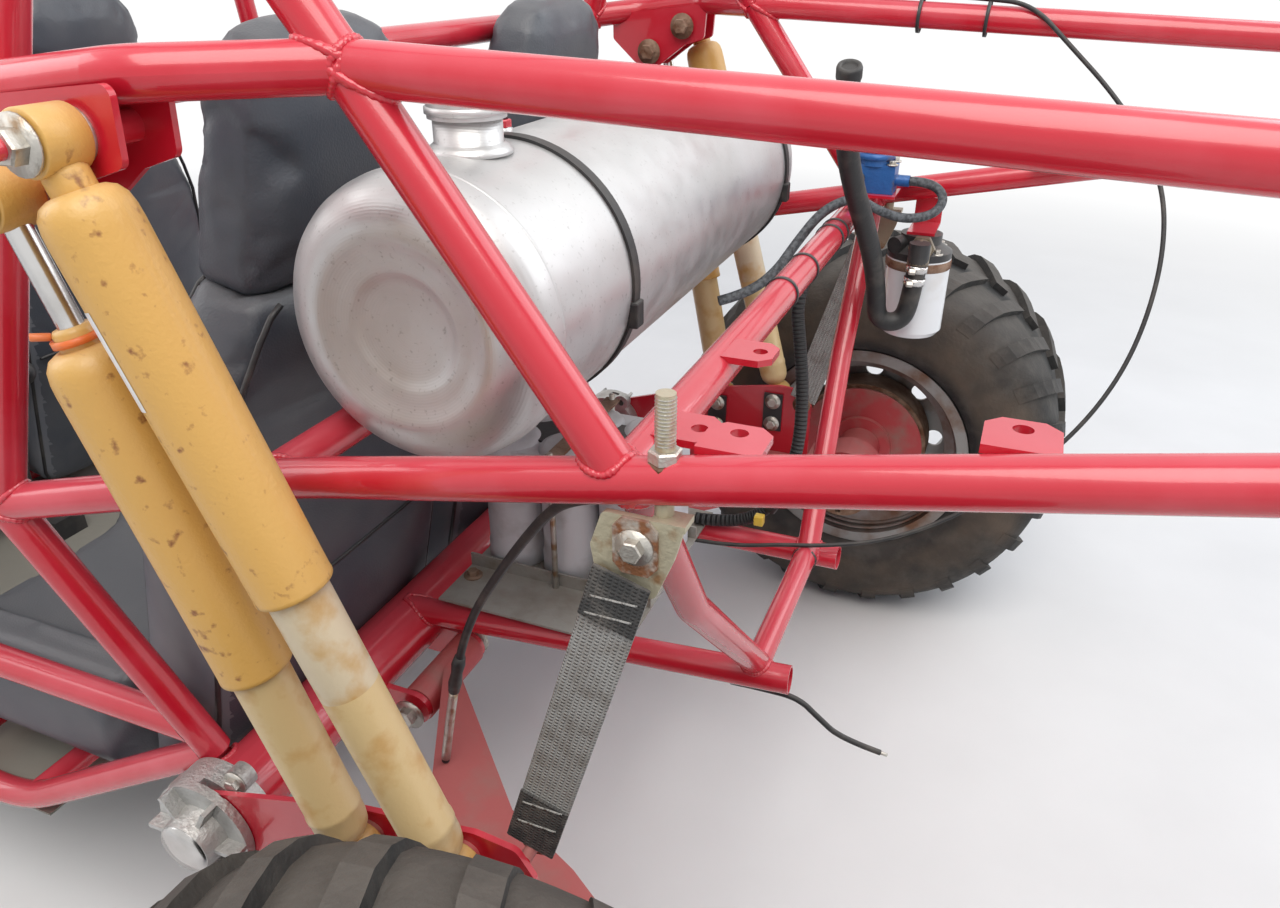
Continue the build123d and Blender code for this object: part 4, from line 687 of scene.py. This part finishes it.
# Rear shocks: top, bottom, sleeve start and end along the length, length and finish of the tube's upper part
SHOCKS = [((130, 602, 1118), (-60, 556, 505), 0.05, 0.52, 95, "pale_paint"),
          ((186, 602, 1079), (45, 556, 485), 0.17, 0.64, 40, "cream_paint")]
EYE = [(15, -16), (20.4, -16), (21, -15), (21, 15), (20.4, 16), (15, 16)]
BUSHING = [(7.3, -17.8), (13, -17.8), (16, -15), (16, 15), (13, 17.8), (7.3, 17.8)]
for side, label in SIDES:
    parts = []
    for number, (top, bottom, start, end, pale, upper) in enumerate(SHOCKS):
        high = Vector(on_side(top, side))
        low = Vector(on_side(bottom, side))
        line = low - high
        length = line.length
        a, b = start * length, end * length
        sleeve = [(0, a - 1), (12, a - 1), (18, a), (24, a + 3), (28, a + 9), (29.6, a + 17), (30, a + 26),
                  (30, b - 5), (30.3, b - 4), (30.3, b - 1), (29.6, b), (25, b), (24, b - 4)]
        seat = [(0, a - 16), (13, a - 15), (14.5, a - 12), (14.5, a + 1)]
        cup = [(24, b + pale), (24, length - 62), (24.8, length - 60), (24.8, length - 55), (24, length - 53),
               (24, length - 40), (22.5, length - 31), (19, length - 25), (14, length - 20), (0, length - 17)]
        tubes = [(sleeve, "yellow_paint", 48), ([(9, 16), (9, a + 2)], "bright_steel", 20),
                 (seat, "yellow_paint", 24), ([(24, b - 5), (24, b + pale)], upper, 48),
                 (cup, "cream_paint", 48)]
        for outline, finish, steps in tubes:
            parts.append(lathe("shock_tube", outline, high, line, finish, steps=steps))
        out = Vector((0, side, 0))
        for at in (high, low):
            parts.append(lathe("eye", EYE, at, ACROSS, "yellow_paint", steps=36))
            parts.append(lathe("bushing", BUSHING, at, ACROSS, "bushing", steps=28))
            parts += bolt("shock_nut", at + out * 18.2, out, 12, "zinc", stub=9)
        if number == 0:
            # A pale strip along the sleeve
            along, across, over = axes_of(line)
            angles = [math.radians(side * (191 + 6 * k)) for k in range(5)]
            window = []
            for share in (0.155, 0.21, 0.265):
                middle = high + along * share * length
                window.append([middle + (across * math.cos(a) + over * math.sin(a)) * 30.3 for a in angles])
            parts.append(build("bare_stripe", window, "sticker_white", closed=False))
        else:
            tie = [(14.7, a - 9), (17.5, a - 9), (17.5, a - 4), (14.7, a - 4)]
            parts.append(lathe("shock_tie", tie, high, line, "orange_plastic", steps=40))
            knot = high + line.normalized() * (a - 6.5)
            parts.append(bar("shock_tie_end", knot + Vector((12, 10 * side, 2)),
                             knot + Vector((20, 20 * side, 4)), 3, "orange_plastic", steps=8))
    whole = join("rear_shocks_shown_" + label, parts)
    if side > 0:
        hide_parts("rear_shocks")


# Limit straps: woven bands with a stitched fold at the top and a black loop below
STRAP_TOP = Vector((-200, 503.2, 812))
STRAP_LOW = Vector((-116, 512, 519))
STRAP_WIDTH = 46
STRAP_SHARES = (0.0, 0.1, 0.2, 0.35, 0.5, 0.65, 0.8, 0.9, 0.97, 1.0)
STUD_AT = (-228, 487)


# A band's section, as shares of half its width and half its thickness
BAND_SECTION = [(-1, -0.5), (-0.94, -1), (0.94, -1), (1, -0.5), (1, 0.5), (0.94, 1), (-0.94, 1), (-1, 0.5)]


def ribbon(name, path, width, thickness, finish):
    """A flat band along a path, its width along the car."""
    wide = Vector((1, 0, 0))
    rings = []
    for point, along, _, _ in path_frames(path):
        across = (wide - along * wide.dot(along)).normalized()
        over = along.cross(across)
        rings.append([point + across * (width / 2 * u) + over * (thickness / 2 * v) for u, v in BAND_SECTION])
    return build_sets(name, [rings], finish)


def on_strap(share, side, out):
    """A point at a share of the strap's length, moved out from its middle plane."""
    point = STRAP_TOP.lerp(STRAP_LOW, share)
    return Vector(on_side((point.x, point.y + out, point.z), side))


for side, label in SIDES:
    middle = [on_strap(s, side, -0.5 * math.sin(math.pi * s)) for s in STRAP_SHARES]
    band = ribbon("limit_strap_" + label, middle, STRAP_WIDTH, 4.6, "webbing")
    parts = []
    for shares in ((-0.04, 0.0, 0.06, 0.115), (0.80, 0.86, 0.92, 1.0)):
        folded = [on_strap(s, side, 3.6) for s in shares]
        parts.append(ribbon("strap_fold", folded, STRAP_WIDTH + 0.5, 3, "webbing_dark"))
    for share in (0.03, 0.085, 0.82, 0.9):
        row = [on_strap(share, side, 5.4) + Vector((u, 0, 0)) for u in (-19, -9, 0, 9, 19)]
        parts.append(swept("stitch", row, 0.9, "webbing", steps=6))
    trim = join("strap_trim_" + label, parts)
    if side > 0:
        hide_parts("limit_straps")
    link = [(-222, 826), (-202, 826), (-195, 834), (-195, 864), (-202, 872), (-222, 872), (-229, 864),
            (-229, 834)]
    sheets = [[on_side((x, y, z), side) for x, z in link] for y in (500.2, 503.2)]
    nuts = [build_sets("shackle_link", [sheets], "zinc_rusty")]
    nuts += bolt("shackle_bolt", on_side((-212, 503.3, 850), side), (0, side, 0), 9, "zinc")
    nuts.append(hex_piece("stud_nut", on_side((*STUD_AT, 901.5), side), UP, 13, 12, "rusty_steel"))
    nuts.append(hex_piece("stud_nut", on_side((*STUD_AT, 914), side), UP, 12, 9, "zinc"))
    for turn in range(14):
        z = 926 + 2.6 * turn
        thread = [(6.6, z), (7.6, z + 1.0), (6.6, z + 2.0)]
        nuts.append(lathe("thread", thread, on_side((*STUD_AT, 0), side), UP, "zinc", steps=20))
    join("shackle_hardware_" + label, nuts)


# Weld beads

POST_KINK = (410, 535, 765)
HOOP_LEG = (POST_KINK, (112, 480, 1610))
NODE_A = (0, 478.5, 1153)
NODE_B = (-194, 483.5, 891)
RAIL_END = (-1247, 486, 1104)
RAIL_FRONT = (100, 487, 832)
TORSION = (296, 480, 446)
HOUSING = ((262, -500, 404), (262, 500, 404))
BRACE_TOP = (182, 491, 1412)
SHOCK_RAIL_TOP = (281, 512, 1130)
TANK_CROSS = (128, 487, 826)
HORN_ROOT = (255, 165, 430)
HORN_END = (-262, 140, 452)
ROOF_REAR = (152, 455, 1602)
ROOF_MID = (1000, 462, 1640)
ROOF_FRONT = (1400, 450, 1612)
DASH_NODE = (1960, 452, 905)
WAIST = (1900, 520, 640)
MID = (1010, 600, 690)
NOSE_TOP = (2640, 232, 470)
NOSE_LOW = (2640, 247, 256)
FLOOR_Y, FLOOR_Z = 500, 250
RAIL = (RAIL_END, RAIL_FRONT)
LOW_BRACE = (NODE_B, NODE_A)
HIGH_BRACE = (NODE_A, BRACE_TOP)
HOOP_BEND = ((137, 478, 1539.3), (114, 405.3, 1604))
FLOOR_RAIL = ((640, FLOOR_Y, FLOOR_Z), (2050, FLOOR_Y, FLOOR_Z))
ROOF_RAIL = (ROOF_REAR, ROOF_MID)
SCREEN_POST = (ROOF_FRONT, DASH_NODE)
WAIST_RAIL = (MID, WAIST)
SIDE_RAIL = (POST_KINK, MID)
HORN = (HORN_ROOT, HORN_END)
UPPER_CROSS = ((-194, -480, 891), NODE_B)
POST_TOP, POST_BEND, POST_FOOT = (-205, 483, 890), (-203, 343, 685), (-219, 133, 459)
HOUSING_R = 42
# Welds of the left side: end, where the tube comes from, the tube met; the radii are the main tube's
WELDS = [
    (NODE_B, NODE_A, RAIL), (NODE_A, RAIL_END, LOW_BRACE), (NODE_A, RAIL_END, HIGH_BRACE),
    (NODE_A, (105, 556, 1152), LOW_BRACE), (NODE_A, (105, 556, 1152), HIGH_BRACE),
    (BRACE_TOP, NODE_A, HOOP_LEG), (SHOCK_RAIL_TOP, (215, 560, 1139), HOOP_LEG),
    (POST_KINK, RAIL_FRONT, HOOP_LEG), (POST_KINK, TORSION, (POST_KINK, RAIL_FRONT)),
    (RAIL_END, NODE_A, RAIL), (RAIL_END, (-1247, 0, 1104), RAIL), (NODE_B, (-194, 0, 891), RAIL),
    (NODE_B, (-194, 0, 891), LOW_BRACE), (TANK_CROSS, (128, 0, 826), RAIL), (ROOF_REAR, ROOF_MID, HOOP_BEND),
    (ROOF_MID, (1000, 0, 1640), ROOF_RAIL), (ROOF_MID, MID, ROOF_RAIL),
    (ROOF_FRONT, (1400, 0, 1612), (ROOF_MID, ROOF_FRONT)), (DASH_NODE, (1960, 0, 905), SCREEN_POST),
    (DASH_NODE, WAIST, SCREEN_POST), (DASH_NODE, NOSE_TOP, SCREEN_POST), (WAIST, DASH_NODE, WAIST_RAIL),
    (WAIST, (1900, FLOOR_Y, FLOOR_Z), WAIST_RAIL), (MID, ROOF_MID, SIDE_RAIL),
    (MID, (1010, FLOOR_Y, FLOOR_Z), SIDE_RAIL), (POST_KINK, MID, HOOP_LEG),
    ((1010, FLOOR_Y, FLOOR_Z), MID, FLOOR_RAIL), ((1900, FLOOR_Y, FLOOR_Z), WAIST, FLOOR_RAIL),
]
WELDS = [(end, origin, TUBE_R, line, TUBE_R) for end, origin, line in WELDS]
WELDS += [
    (TORSION, POST_KINK, TUBE_R, HOUSING, HOUSING_R), (HORN_ROOT, HORN_END, TUBE_R, HOUSING, HOUSING_R),
    (TORSION, (640, FLOOR_Y, FLOOR_Z), TUBE_R, HOUSING, HOUSING_R),
    (POST_TOP, POST_BEND, BRACE_R, RAIL, TUBE_R), (POST_TOP, POST_BEND, BRACE_R, UPPER_CROSS, TUBE_R),
    (POST_FOOT, POST_BEND, BRACE_R, HORN, TUBE_R),
    ((-219, 140, 457), (-219, 0, 457), BRACE_R, HORN, TUBE_R),
    (NOSE_TOP, NOSE_LOW, BRACE_R, (DASH_NODE, NOSE_TOP), TUBE_R),
]
BEAD_R = 3.1
BEAD_STEPS = 120
BEAD_LEAST = 20


def weld_ring(end, origin, radius, line, target_r):
    """Points where one round tube's surface meets another's."""
    end, origin = Vector(end), Vector(origin)
    away, across, over = axes_of(origin - end)
    low, high = Vector(line[0]), Vector(line[1])
    axis = (high - low).normalized()
    points = []
    for outside in ring_at(end, across, over, radius, BEAD_STEPS):
        start = outside - low
        flat_start = start - axis * start.dot(axis)
        flat_away = away - axis * away.dot(axis)
        a = flat_away.length_squared
        b = 2 * flat_start.dot(flat_away)
        c = flat_start.length_squared - target_r ** 2
        inside = b * b - 4 * a * c
        if inside >= 0:
            points.append(low + start + away * (-b + math.sqrt(inside)) / (2 * a))
    return points


beads = []
for end, origin, radius, line, target_r in WELDS:
    for side, label in SIDES:
        ring = weld_ring(on_side(end, side), on_side(origin, side), radius,
                         (on_side(line[0], side), on_side(line[1], side)), target_r)
        if len(ring) < BEAD_LEAST:
            continue
        whole = len(ring) == BEAD_STEPS
        rings = []
        for index, (point, along, across, over) in enumerate(path_frames(ring, whole)):
            # Two ripples of different length along the bead
            r = BEAD_R * (1 + 0.09 * math.sin(index * 2 * math.pi / 4) + 0.1 * math.sin(index * 0.37))
            rings.append(ring_at(point, across, over, r, 8))
        if whole:
            rings.append(rings[0])
        beads.append(rings)
welds = build_sets("weld_beads", beads, "red_paint", smooth=True, caps=False)


# Tank: a drum with rounded shoulders and dished ends, weld seams, neck and a vent fitting
TANK_END = [(0, 402.5), (14, 403), (28, 404.4), (40, 406.6), (46, 408.2), (50, 410.4), (54, 411.6),
            (62, 412.8), (70, 414.6), (76, 417), (81, 418.6), (87, 419), (94, 418), (101, 415.4),
            (108, 411.4), (115, 405.6), (120.5, 399), (124.4, 390.5), (126.5, 381), (127, 370)]
NECK_Y = 288
neck_low = TANK_Z + TANK_R
outline = [(r, -y) for r, y in TANK_END] + [(r, y) for r, y in reversed(TANK_END)]
neck = [(30, -20), (30, 26), (27, 26), (27, 0)]
seam = [(126.8, -2), (127.7, -0.8), (127.7, 0.8), (126.8, 2)]
collar = [(30, -4), (38, -3), (38.5, 0), (33, 4), (30.4, 6)]
turned = [(outline, 0, TANK_Z, ACROSS, 128), (neck, NECK_Y, neck_low, UP, 48),
          (collar, NECK_Y, neck_low, UP, 48), (seam, -370, TANK_Z, ACROSS, 96),
          (seam, 370, TANK_Z, ACROSS, 96)]
parts = [lathe("tank_part", outline, (TANK_X, y, z), way, "spun_aluminium", steps=steps)
         for outline, y, z, way, steps in turned]
stand_in("fuel_tank_shown", parts, "fuel_tank")
rim = [(34.2, 3), (36, 4), (36, 9), (34.2, 10)]
join("cap_trim", [lathe("cap_rim", rim, (TANK_X, NECK_Y, neck_low + 26.3), UP, "spun_aluminium", steps=48)])
boss = [(0, 0), (11, 0), (11, 8), (8, 9), (8, 14), (0, 14)]
elbow = [(x, y, neck_low + z) for x, y, z in ((44, 208, 12), (44, 206, 20), (42, 198, 25), (40, 184, 25))]
join("vent_fitting", [lathe("vent_boss", boss, (44, 208, neck_low - 3), UP, "spun_aluminium", steps=24),
                      hex_piece("vent_nut", (44, 208, neck_low + 6), UP, 10, 7, "red_paint"),
                      swept("vent_elbow", elbow, 7, "black_plastic")])
parts = []
for y in (222, -345):
    for x in (TANK_X + 128, TANK_X - 128):
        parts.append(box_piece("buckle", (x - 5, y - 9, TANK_Z - 40), (x + 5, y + 9, TANK_Z - 14),
                               "black_rubber", edge=2))
join("band_buckles", parts)


# Battery: six spiral cells joined by a pale lid, with a pale flat case on the rear side
BATTERY_X, BATTERY_Y, CELL_PITCH, CELL_R = 72, -4, 84, 41
BATTERY_LOW, BATTERY_TOP = 464.6, 656.6
TRAY_Z = 464.4
CELL = [(0, BATTERY_LOW), (38, BATTERY_LOW), (CELL_R, BATTERY_LOW + 4), (CELL_R, BATTERY_LOW + 30),
        (CELL_R - 1.5, BATTERY_LOW + 33), (CELL_R - 1.5, BATTERY_TOP - 36), (CELL_R, BATTERY_TOP - 33),
        (CELL_R, BATTERY_TOP - 8), (37, BATTERY_TOP - 2), (30, BATTERY_TOP), (0, BATTERY_TOP)]
CELL_CAP = [(12, BATTERY_TOP - 1), (11, BATTERY_TOP + 2.5), (0, BATTERY_TOP + 3)]
parts = []
for column in (-1, 0, 1):
    for row in (-0.5, 0.5):
        at = (BATTERY_X + column * CELL_PITCH, BATTERY_Y + row * CELL_PITCH, 0)
        parts.append(lathe("cell", CELL, at, UP, "battery_grey", steps=40))
        parts.append(lathe("cell_cap", CELL_CAP, at, UP, "black_plastic", steps=24))
# The core, black as painted shade in the gaps between the cells, the lid and the flat side: lowest and
# highest corner, finish, edge
CASE = [((-42, -46, BATTERY_LOW), (186, 38, BATTERY_TOP - 4), "black_plastic", 1),
        ((-50, -83, BATTERY_TOP - 34), (194, 75, BATTERY_TOP - 7), "battery_pale", 5),
        ((-53, -82, BATTERY_LOW + 1), (-30, 74, BATTERY_TOP - 8), "battery_pale", 4)]
parts += [box_piece("battery_case", low, high, finish, edge) for low, high, finish, edge in CASE]
stand_in("battery_shown", parts, "battery")
parts = []
for y in (44, -52):
    post = [(9, 0), (8, 14), (0, 14)]
    parts.append(lathe("post", post, (-20, y, BATTERY_TOP - 7), UP, "zinc", steps=20))
    low, high = (-34, y - 10, BATTERY_TOP - 5), (-6, y + 10, BATTERY_TOP + 4)
    parts.append(box_piece("clamp", low, high, "brass", 2))
for x in (-40, 190):
    for y in (-110, 110):
        parts += bolt("tray_bolt", (x, y, TRAY_Z), UP, 8, "rusty_steel")
for y in (-101, 93):
    parts.append(bar("hold_rod", (BATTERY_X, y, TRAY_Z), (BATTERY_X, y, 669), 4, "zinc"))
parts.append(box_piece("hold_down", (62, -106, 657), (82, 98, 661), "rusty_steel"))
join("battery_hardware", parts)


# Oil filter rim, elbow, clamps and the pump's castings
FILTER_AT = (-287, -438)
HEAD_Z = 818.3
BOLT_CIRCLE = 38
ELBOW_X = -293
rim = [(46.8, -16), (48.2, -14), (48.2, -4), (46.8, -2)]
parts = [lathe("filter_rim", rim, (*FILTER_AT, HEAD_Z), UP, "rusty_steel", steps=48)]
for angle in (45, 135, 225, 315):
    x = FILTER_AT[0] + BOLT_CIRCLE * math.cos(math.radians(angle))
    y = FILTER_AT[1] + BOLT_CIRCLE * math.sin(math.radians(angle))
    parts += bolt("head_bolt", (x, y, HEAD_Z + 10), UP, 6, "zinc")
join("filter_trim", parts)
elbow = [(ELBOW_X, y, HEAD_Z + z) for y, z in ((-400, 20), (-384, 20), (-376, 17), (-372.5, 9), (-372, 3.5))]
nut = [(14, -5), (19, -5), (19, 6), (14, 6)]
parts = [swept("elbow", elbow, 15.4, "brass", steps=20),
         lathe("elbow_nut", nut, (ELBOW_X, -402, HEAD_Z + 20), ACROSS, "brass", steps=6, smooth=False)]
band = [(14.3, -5), (15.4, -5), (15.4, 5), (14.3, 5)]
for at in ((-292.7, -372, 816), (-291.4, -371, 798)):
    parts.append(lathe("hose_clamp", band, at, (3, 2, -42), "bright_steel", steps=32))
    parts.append(hex_piece("clamp_screw", Vector(at) + Vector((0, 17, 0)), (1, 0.2, 0), 5, 9, "zinc"))
join("oil_elbow", parts)
PUMP = (-212, -410)
PUMP_LOW = 913.1
lid = [(24.5, 56), (27, 57), (27, 63), (22, 66), (0, 67)]
parts = [lathe("pump_lid", lid, (*PUMP, PUMP_LOW - 10), UP, "blue_paint", steps=32)]
for x in (-26, 26):
    for y in (-15, 15):
        parts += bolt("pump_bolt", (PUMP[0] + x, PUMP[1] + y, PUMP_LOW + 40), UP, 5, "zinc")
port = [(7, 0), (10, 0), (10, 10), (7.5, 12), (7.5, 22), (0, 22)]
port_at = (PUMP[0] + 20, PUMP[1] + 20, PUMP_LOW + 20)
parts.append(lathe("pump_port", port, port_at, ACROSS, "brass", steps=20))
join("pump_trim", parts)


# Torsion cover bolts and caps, then the bolts of the rear arms and the shock hangers
HOUSING_AT = (262, 404)
COVER_CIRCLE = 62
COVER_CAP = [(29, 0), (27, 3), (12, 5), (0, 5.5)]
SPACER = [(12, -3.5), (18, -3), (18, 3), (12, 3.5)]
for side, label in SIDES:
    outward = (0, side, 0)
    inward = (0, -side, 0)
    parts = []
    for angle in (0, 120, 240):
        x = HOUSING_AT[0] + COVER_CIRCLE * math.cos(math.radians(angle))
        z = HOUSING_AT[1] + COVER_CIRCLE * math.sin(math.radians(angle))
        parts += bolt("cover_bolt", on_side((x, 516.3, z), side), outward, 8.5, "zinc")
    cap_at = on_side((HOUSING_AT[0], 570.3, HOUSING_AT[1]), side)
    parts.append(lathe("cover_cap", COVER_CAP, cap_at, outward, "bright_steel", steps=32))
    join("cover_hardware_" + label, parts)
    parts = bolt("pivot_bolt", on_side((180, 293.5, 376), side), outward, 13, "zinc")
    parts += bolt("pivot_bolt", on_side((180, 136.5, 376), side), inward, 13, "zinc")
    for x, z in ((-69, 468), (-108, 480), (-112, 372), (40, 372)):
        parts += bolt("plate_bolt", on_side((x, 533.2, z), side), outward, 10, "zinc", stub=5)
    for x, z in ((-60, 478), (45, 458)):
        low, high = sorted((side * 521, side * 526.4))
        parts.append(box_piece("shock_bracket", (x - 17, low, z - 34), (x + 17, high, z + 38),
                               "black_plastic", edge=2))
        for height in (-20, 24):
            parts += bolt("bracket_bolt", on_side((x, 521, z + height), side), inward, 9, "zinc")
    parts += bolt("strap_nut", on_side((-116, 505, 512), side), inward, 10, "rusty_steel")
    join("arm_hardware_" + label, parts)
    parts = []
    for x, z in ((130, 1118), (186, 1079)):
        parts += bolt("hanger_nut", on_side((x, 526, z), side), inward, 12, "rusty_steel")
        parts.append(lathe("spacer", SPACER, on_side((x, 583, z), side), ACROSS, "zinc", steps=28))
    join("hanger_hardware_" + label, parts)


# Cables and hoses

def cord_curve(name, points, diameter, finish):
    """A smooth cord through a route of points."""
    data = bpy.data.curves.new(name, "CURVE")
    data.dimensions = "3D"
    data.bevel_depth = diameter / 2000
    data.bevel_resolution = 5
    data.use_fill_caps = True
    spline = data.splines.new("NURBS")
    spline.points.add(len(points) - 1)
    for item, point in zip(spline.points, points):
        item.co = (*place(*point), 1)
    spline.order_u = 3
    spline.use_endpoint_u = True
    spline.resolution_u = 8
    data.materials.append(finishes[finish])
    thing = placed(name, data)
    return thing


def on_bend(start, middle, end, t):
    """A point on the curve from start to end that leans towards the middle."""
    return start * (1 - t) ** 2 + middle * 2 * t * (1 - t) + end * t ** 2


def route_length(points):
    """The length of the smooth line of order 3 through a route, in metres."""
    places = [place(*p) for p in points]
    corners = [places[0]]
    for before, after in zip(places[1:-2], places[2:-1]):
        corners.append((before + after) / 2)
    corners.append(places[-1])
    total = 0
    for index, (start, end) in enumerate(zip(corners, corners[1:])):
        middle = places[index + 1]
        last = start
        for step in range(1, 17):
            t = step / 16
            point = on_bend(start, middle, end, t)
            total += (point - last).length
            last = point
    return total


# Cords: node, diameter, finish, far end, stiffness, lay, route with its exit first
CORDS = [
    ("oil_hose", 28, "black_rubber", "bare", "stiff", "loose",
     [(-293, -372, 819.6), (-290, -370, 779), (-286, -366, 747.7), (-274.3, -362, 736),
      (-257.7, -356, 736), (-246, -352, 747.7), (-243.5, -346, 780), (-237, -325, 832),
      (-229, -270, 893), (-216, -228, 950), (-207, -196, 1005), (-206, -172, 1060),
      (-209, -152, 1104)]),
    ("fuel_hose", 13, "braided_hose", "object", "medium", "loose",
     [(-263.4, -406, 931), (-292, -408, 932), (-316, -402, 914), (-306, -384, 892),
      (-268, -364, 886), (-232, -338, 902), (-206, -300, 927), (-172, -256, 915),
      (-150, -212, 880), (-134, -170, 848), (-106, -140, 826), (-74, -120, 818)]),
    ("throttle_cable", 6, "black_rubber", "object", "stiff", "hanging",
     [(-70, -478, 1172), (-130, -481, 1172), (-190, -480, 1169), (-256, -481, 1168),
      (-322, -480, 1165), (-385, -466, 1160), (-440, -450, 1112), (-498, -420, 1063),
      (-549, -390, 1008), (-581, -360, 954), (-594, -330, 895), (-594, -300, 829),
      (-582, -270, 760), (-557, -240, 701), (-520, -215, 645), (-464, -190, 583),
      (-394, -166, 528), (-318, -140, 493), (-240, -118, 480), (-184, -109, 474),
      (-130, -102, 463), (-72, -98, 458), (-20, -96, 458)]),
    ("wiring_loom", 18, "loom_plastic", "object", "medium", "hanging",
     [(-168, -236, 862), (-152, -226, 800), (-166, -214, 736), (-178, -200, 676),
      (-184, -180, 608), (-176, -162, 545), (-148, -148, 496), (-100, -138, 474),
      (-48, -132, 474)]),
    ("trailing_lead", 7, "black_rubber", "bare", "stiff", "hanging",
     [(-190, 142, 427.5), (-240, 141, 429.6), (-275, 139, 426), (-300, 138, 404),
      (-328, 136, 380), (-376, 125, 364)]),
    ("clutch_cable", 9, "black_rubber", "object", "stiff", "hanging",
     [(-185, 476, 869), (-150, 476, 862), (-104, 440, 812), (-34, 392, 716),
      (34, 356, 610), (66, 352, 510), (80, 364, 402)]),
]
CLUTCH_STEPS = (0.06, 0.16, 0.26, 0.36, 0.45, 0.52, 0.6, 0.68, 0.76, 0.84, 0.92, 0.98)
LOOM_TAPE = (0.15, 0.5, 0.85)
for name, diameter, finish, far_end, stiffness, lay, route in CORDS:
    curve = cord_curve(name + "_shown", route, diameter, finish)
    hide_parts(name)
    tip = Vector(route[-1])
    along = (tip - Vector(route[-2])).normalized()
    if name == "oil_hose":
        mouth = [(14.6, -14), (15.2, -12), (15.2, -1), (14, 2), (9.5, 2), (9, -6), (0, -7)]
        lathe("oil_hose_mouth", mouth, tip, along, "black_rubber", steps=32)
    if name == "trailing_lead":
        bar("bare_wire", tip - along * 2, tip + along * 9, 2.2, "zinc")
    if name == "clutch_cable":
        middle = Vector(route[-2])
        run = [on_bend(Vector(route[-3]).lerp(middle, 0.5), middle, tip, t) for t in CLUTCH_STEPS]
        swept("clutch_boot", run[:5], lambda index: 6.2 + 1.4 * (index % 2), "black_rubber")
        swept("clutch_rod", run[4:], 5.2, "zinc")
    if name == "wiring_loom":
        taped = [Vector(route[5]).lerp(Vector(route[6]), t) for t in LOOM_TAPE]
        swept("loom_tape", taped, 12, "black_rubber")
        box_piece("loom_plug", (-152, -137, 486), (-138, -124, 502), "yellow_plastic", edge=2)
    place(*route[0])
    route_length(route)


# Zip ties round tubes: a point on the tube's line, the line's direction, radius
TIES = [
    ((-194, -205, 891), ACROSS, TUBE_R), ((-194, -238, 891), ACROSS, TUBE_R),
    ((-194, -60, 891), ACROSS, TUBE_R), ((-194, 40, 891), ACROSS, TUBE_R),
    ((-240, -480, 1143), (1, 0, 0.04), TUBE_R + 4), ((-330, -480, 1140), (1, 0, 0.04), TUBE_R + 4),
    ((-219, -110, 457), ACROSS, BRACE_R),
]
parts = []
for at, along, radius in TIES:
    band = [(radius + 0.3, -2.4), (radius + 1.7, -2.4), (radius + 1.7, 2.4), (radius + 0.3, 2.4)]
    parts.append(lathe("tie", band, at, along, "black_plastic", steps=40))
join("zip_ties", parts)


# Camera, light and floor
camera_data = bpy.data.cameras.new("camera")
camera_data.sensor_width = SENSOR
camera_data.lens = CAMERA_LENS
camera_data.clip_start = 0.01
camera = bpy.data.objects.new("camera", camera_data)
scene.collection.objects.link(camera)
camera.location = CAMERA_AT
yaw = math.radians(CAMERA_YAW)
pitch = math.radians(CAMERA_PITCH)
look = Vector((math.sin(yaw) * math.cos(pitch), -math.cos(yaw) * math.cos(pitch), -math.sin(pitch)))
camera.rotation_euler = look.to_track_quat("-Z", "Y").to_euler()
scene.camera = camera
scene.render.resolution_x, scene.render.resolution_y = PHOTO_SIZE
scene.view_settings.view_transform = "Standard"
scene.view_settings.exposure = 0.05

# Lights: name, place, size, power, colour
LIGHTS = [
    ("key", (-1.5, 1.6, 3.6), 2.6, 95, (1.0, 0.97, 0.92)),
    ("fill", (-3.2, -1.8, 2.8), 3.0, 60, (0.93, 0.96, 1.0)),
    ("front", (3.4, 1.5, 3.2), 3.0, 60, (1.0, 1.0, 1.0)),
]
for name, at, size, power, colour in LIGHTS:
    lamp = bpy.data.lights.new(name, "AREA")
    lamp.size = size
    lamp.energy = power
    lamp.color = colour
    light = bpy.data.objects.new(name, lamp)
    light.location = at
    light.rotation_euler = (-Vector(at)).to_track_quat("-Z", "Y").to_euler()
    scene.collection.objects.link(light)

# A white background, with softer light from it
world = bpy.data.worlds.new("world")
world.use_nodes = True
scene.world = world
tree = world.node_tree
tree.nodes.clear()
seen = node(tree, "Background", {"Color": (1, 1, 1, 1)}).outputs["Background"]
soft = node(tree, "Background", {"Color": (0.86, 0.9, 1.0, 1), "Strength": 0.5}).outputs["Background"]
rays = node(tree, "LightPath").outputs
direct = maths(tree, "MAXIMUM", rays["Is Camera Ray"], rays["Is Glossy Ray"])
anyway = maths(tree, "MAXIMUM", direct, rays["Is Transmission Ray"])
chosen = node(tree, "MixShader", {0: anyway, 1: soft, 2: seen}).outputs["Shader"]
node(tree, "OutputWorld", {"Surface": chosen})

# A pale floor that turns white with distance, in metres from the car's middle
FLOOR_FADE = (2.6, 5.5)
bpy.ops.mesh.primitive_plane_add(size=60)
floor = bpy.context.object
floor.name = "floor"
tree, main = shader("floor_white", 0.9)
tree.links.new(mixed(tree, (0.78, 0.775, 0.765), (0.83, 0.825, 0.815), noise(tree, 3, 0.3, 0.7)),
               main.inputs["Base Color"])
away = node(tree, "VectorMath", {0: spot(tree)}, operation="LENGTH").outputs["Value"]
white = node(tree, "Emission").outputs["Emission"]
fade = node(tree, "MixShader", {0: ramped(tree, away, *FLOOR_FADE), 1: main.outputs["BSDF"], 2: white})
tree.links.new(fade.outputs["Shader"], tree.nodes["Material Output"].inputs["Surface"])
floor.data.materials.append(finishes["floor_white"])
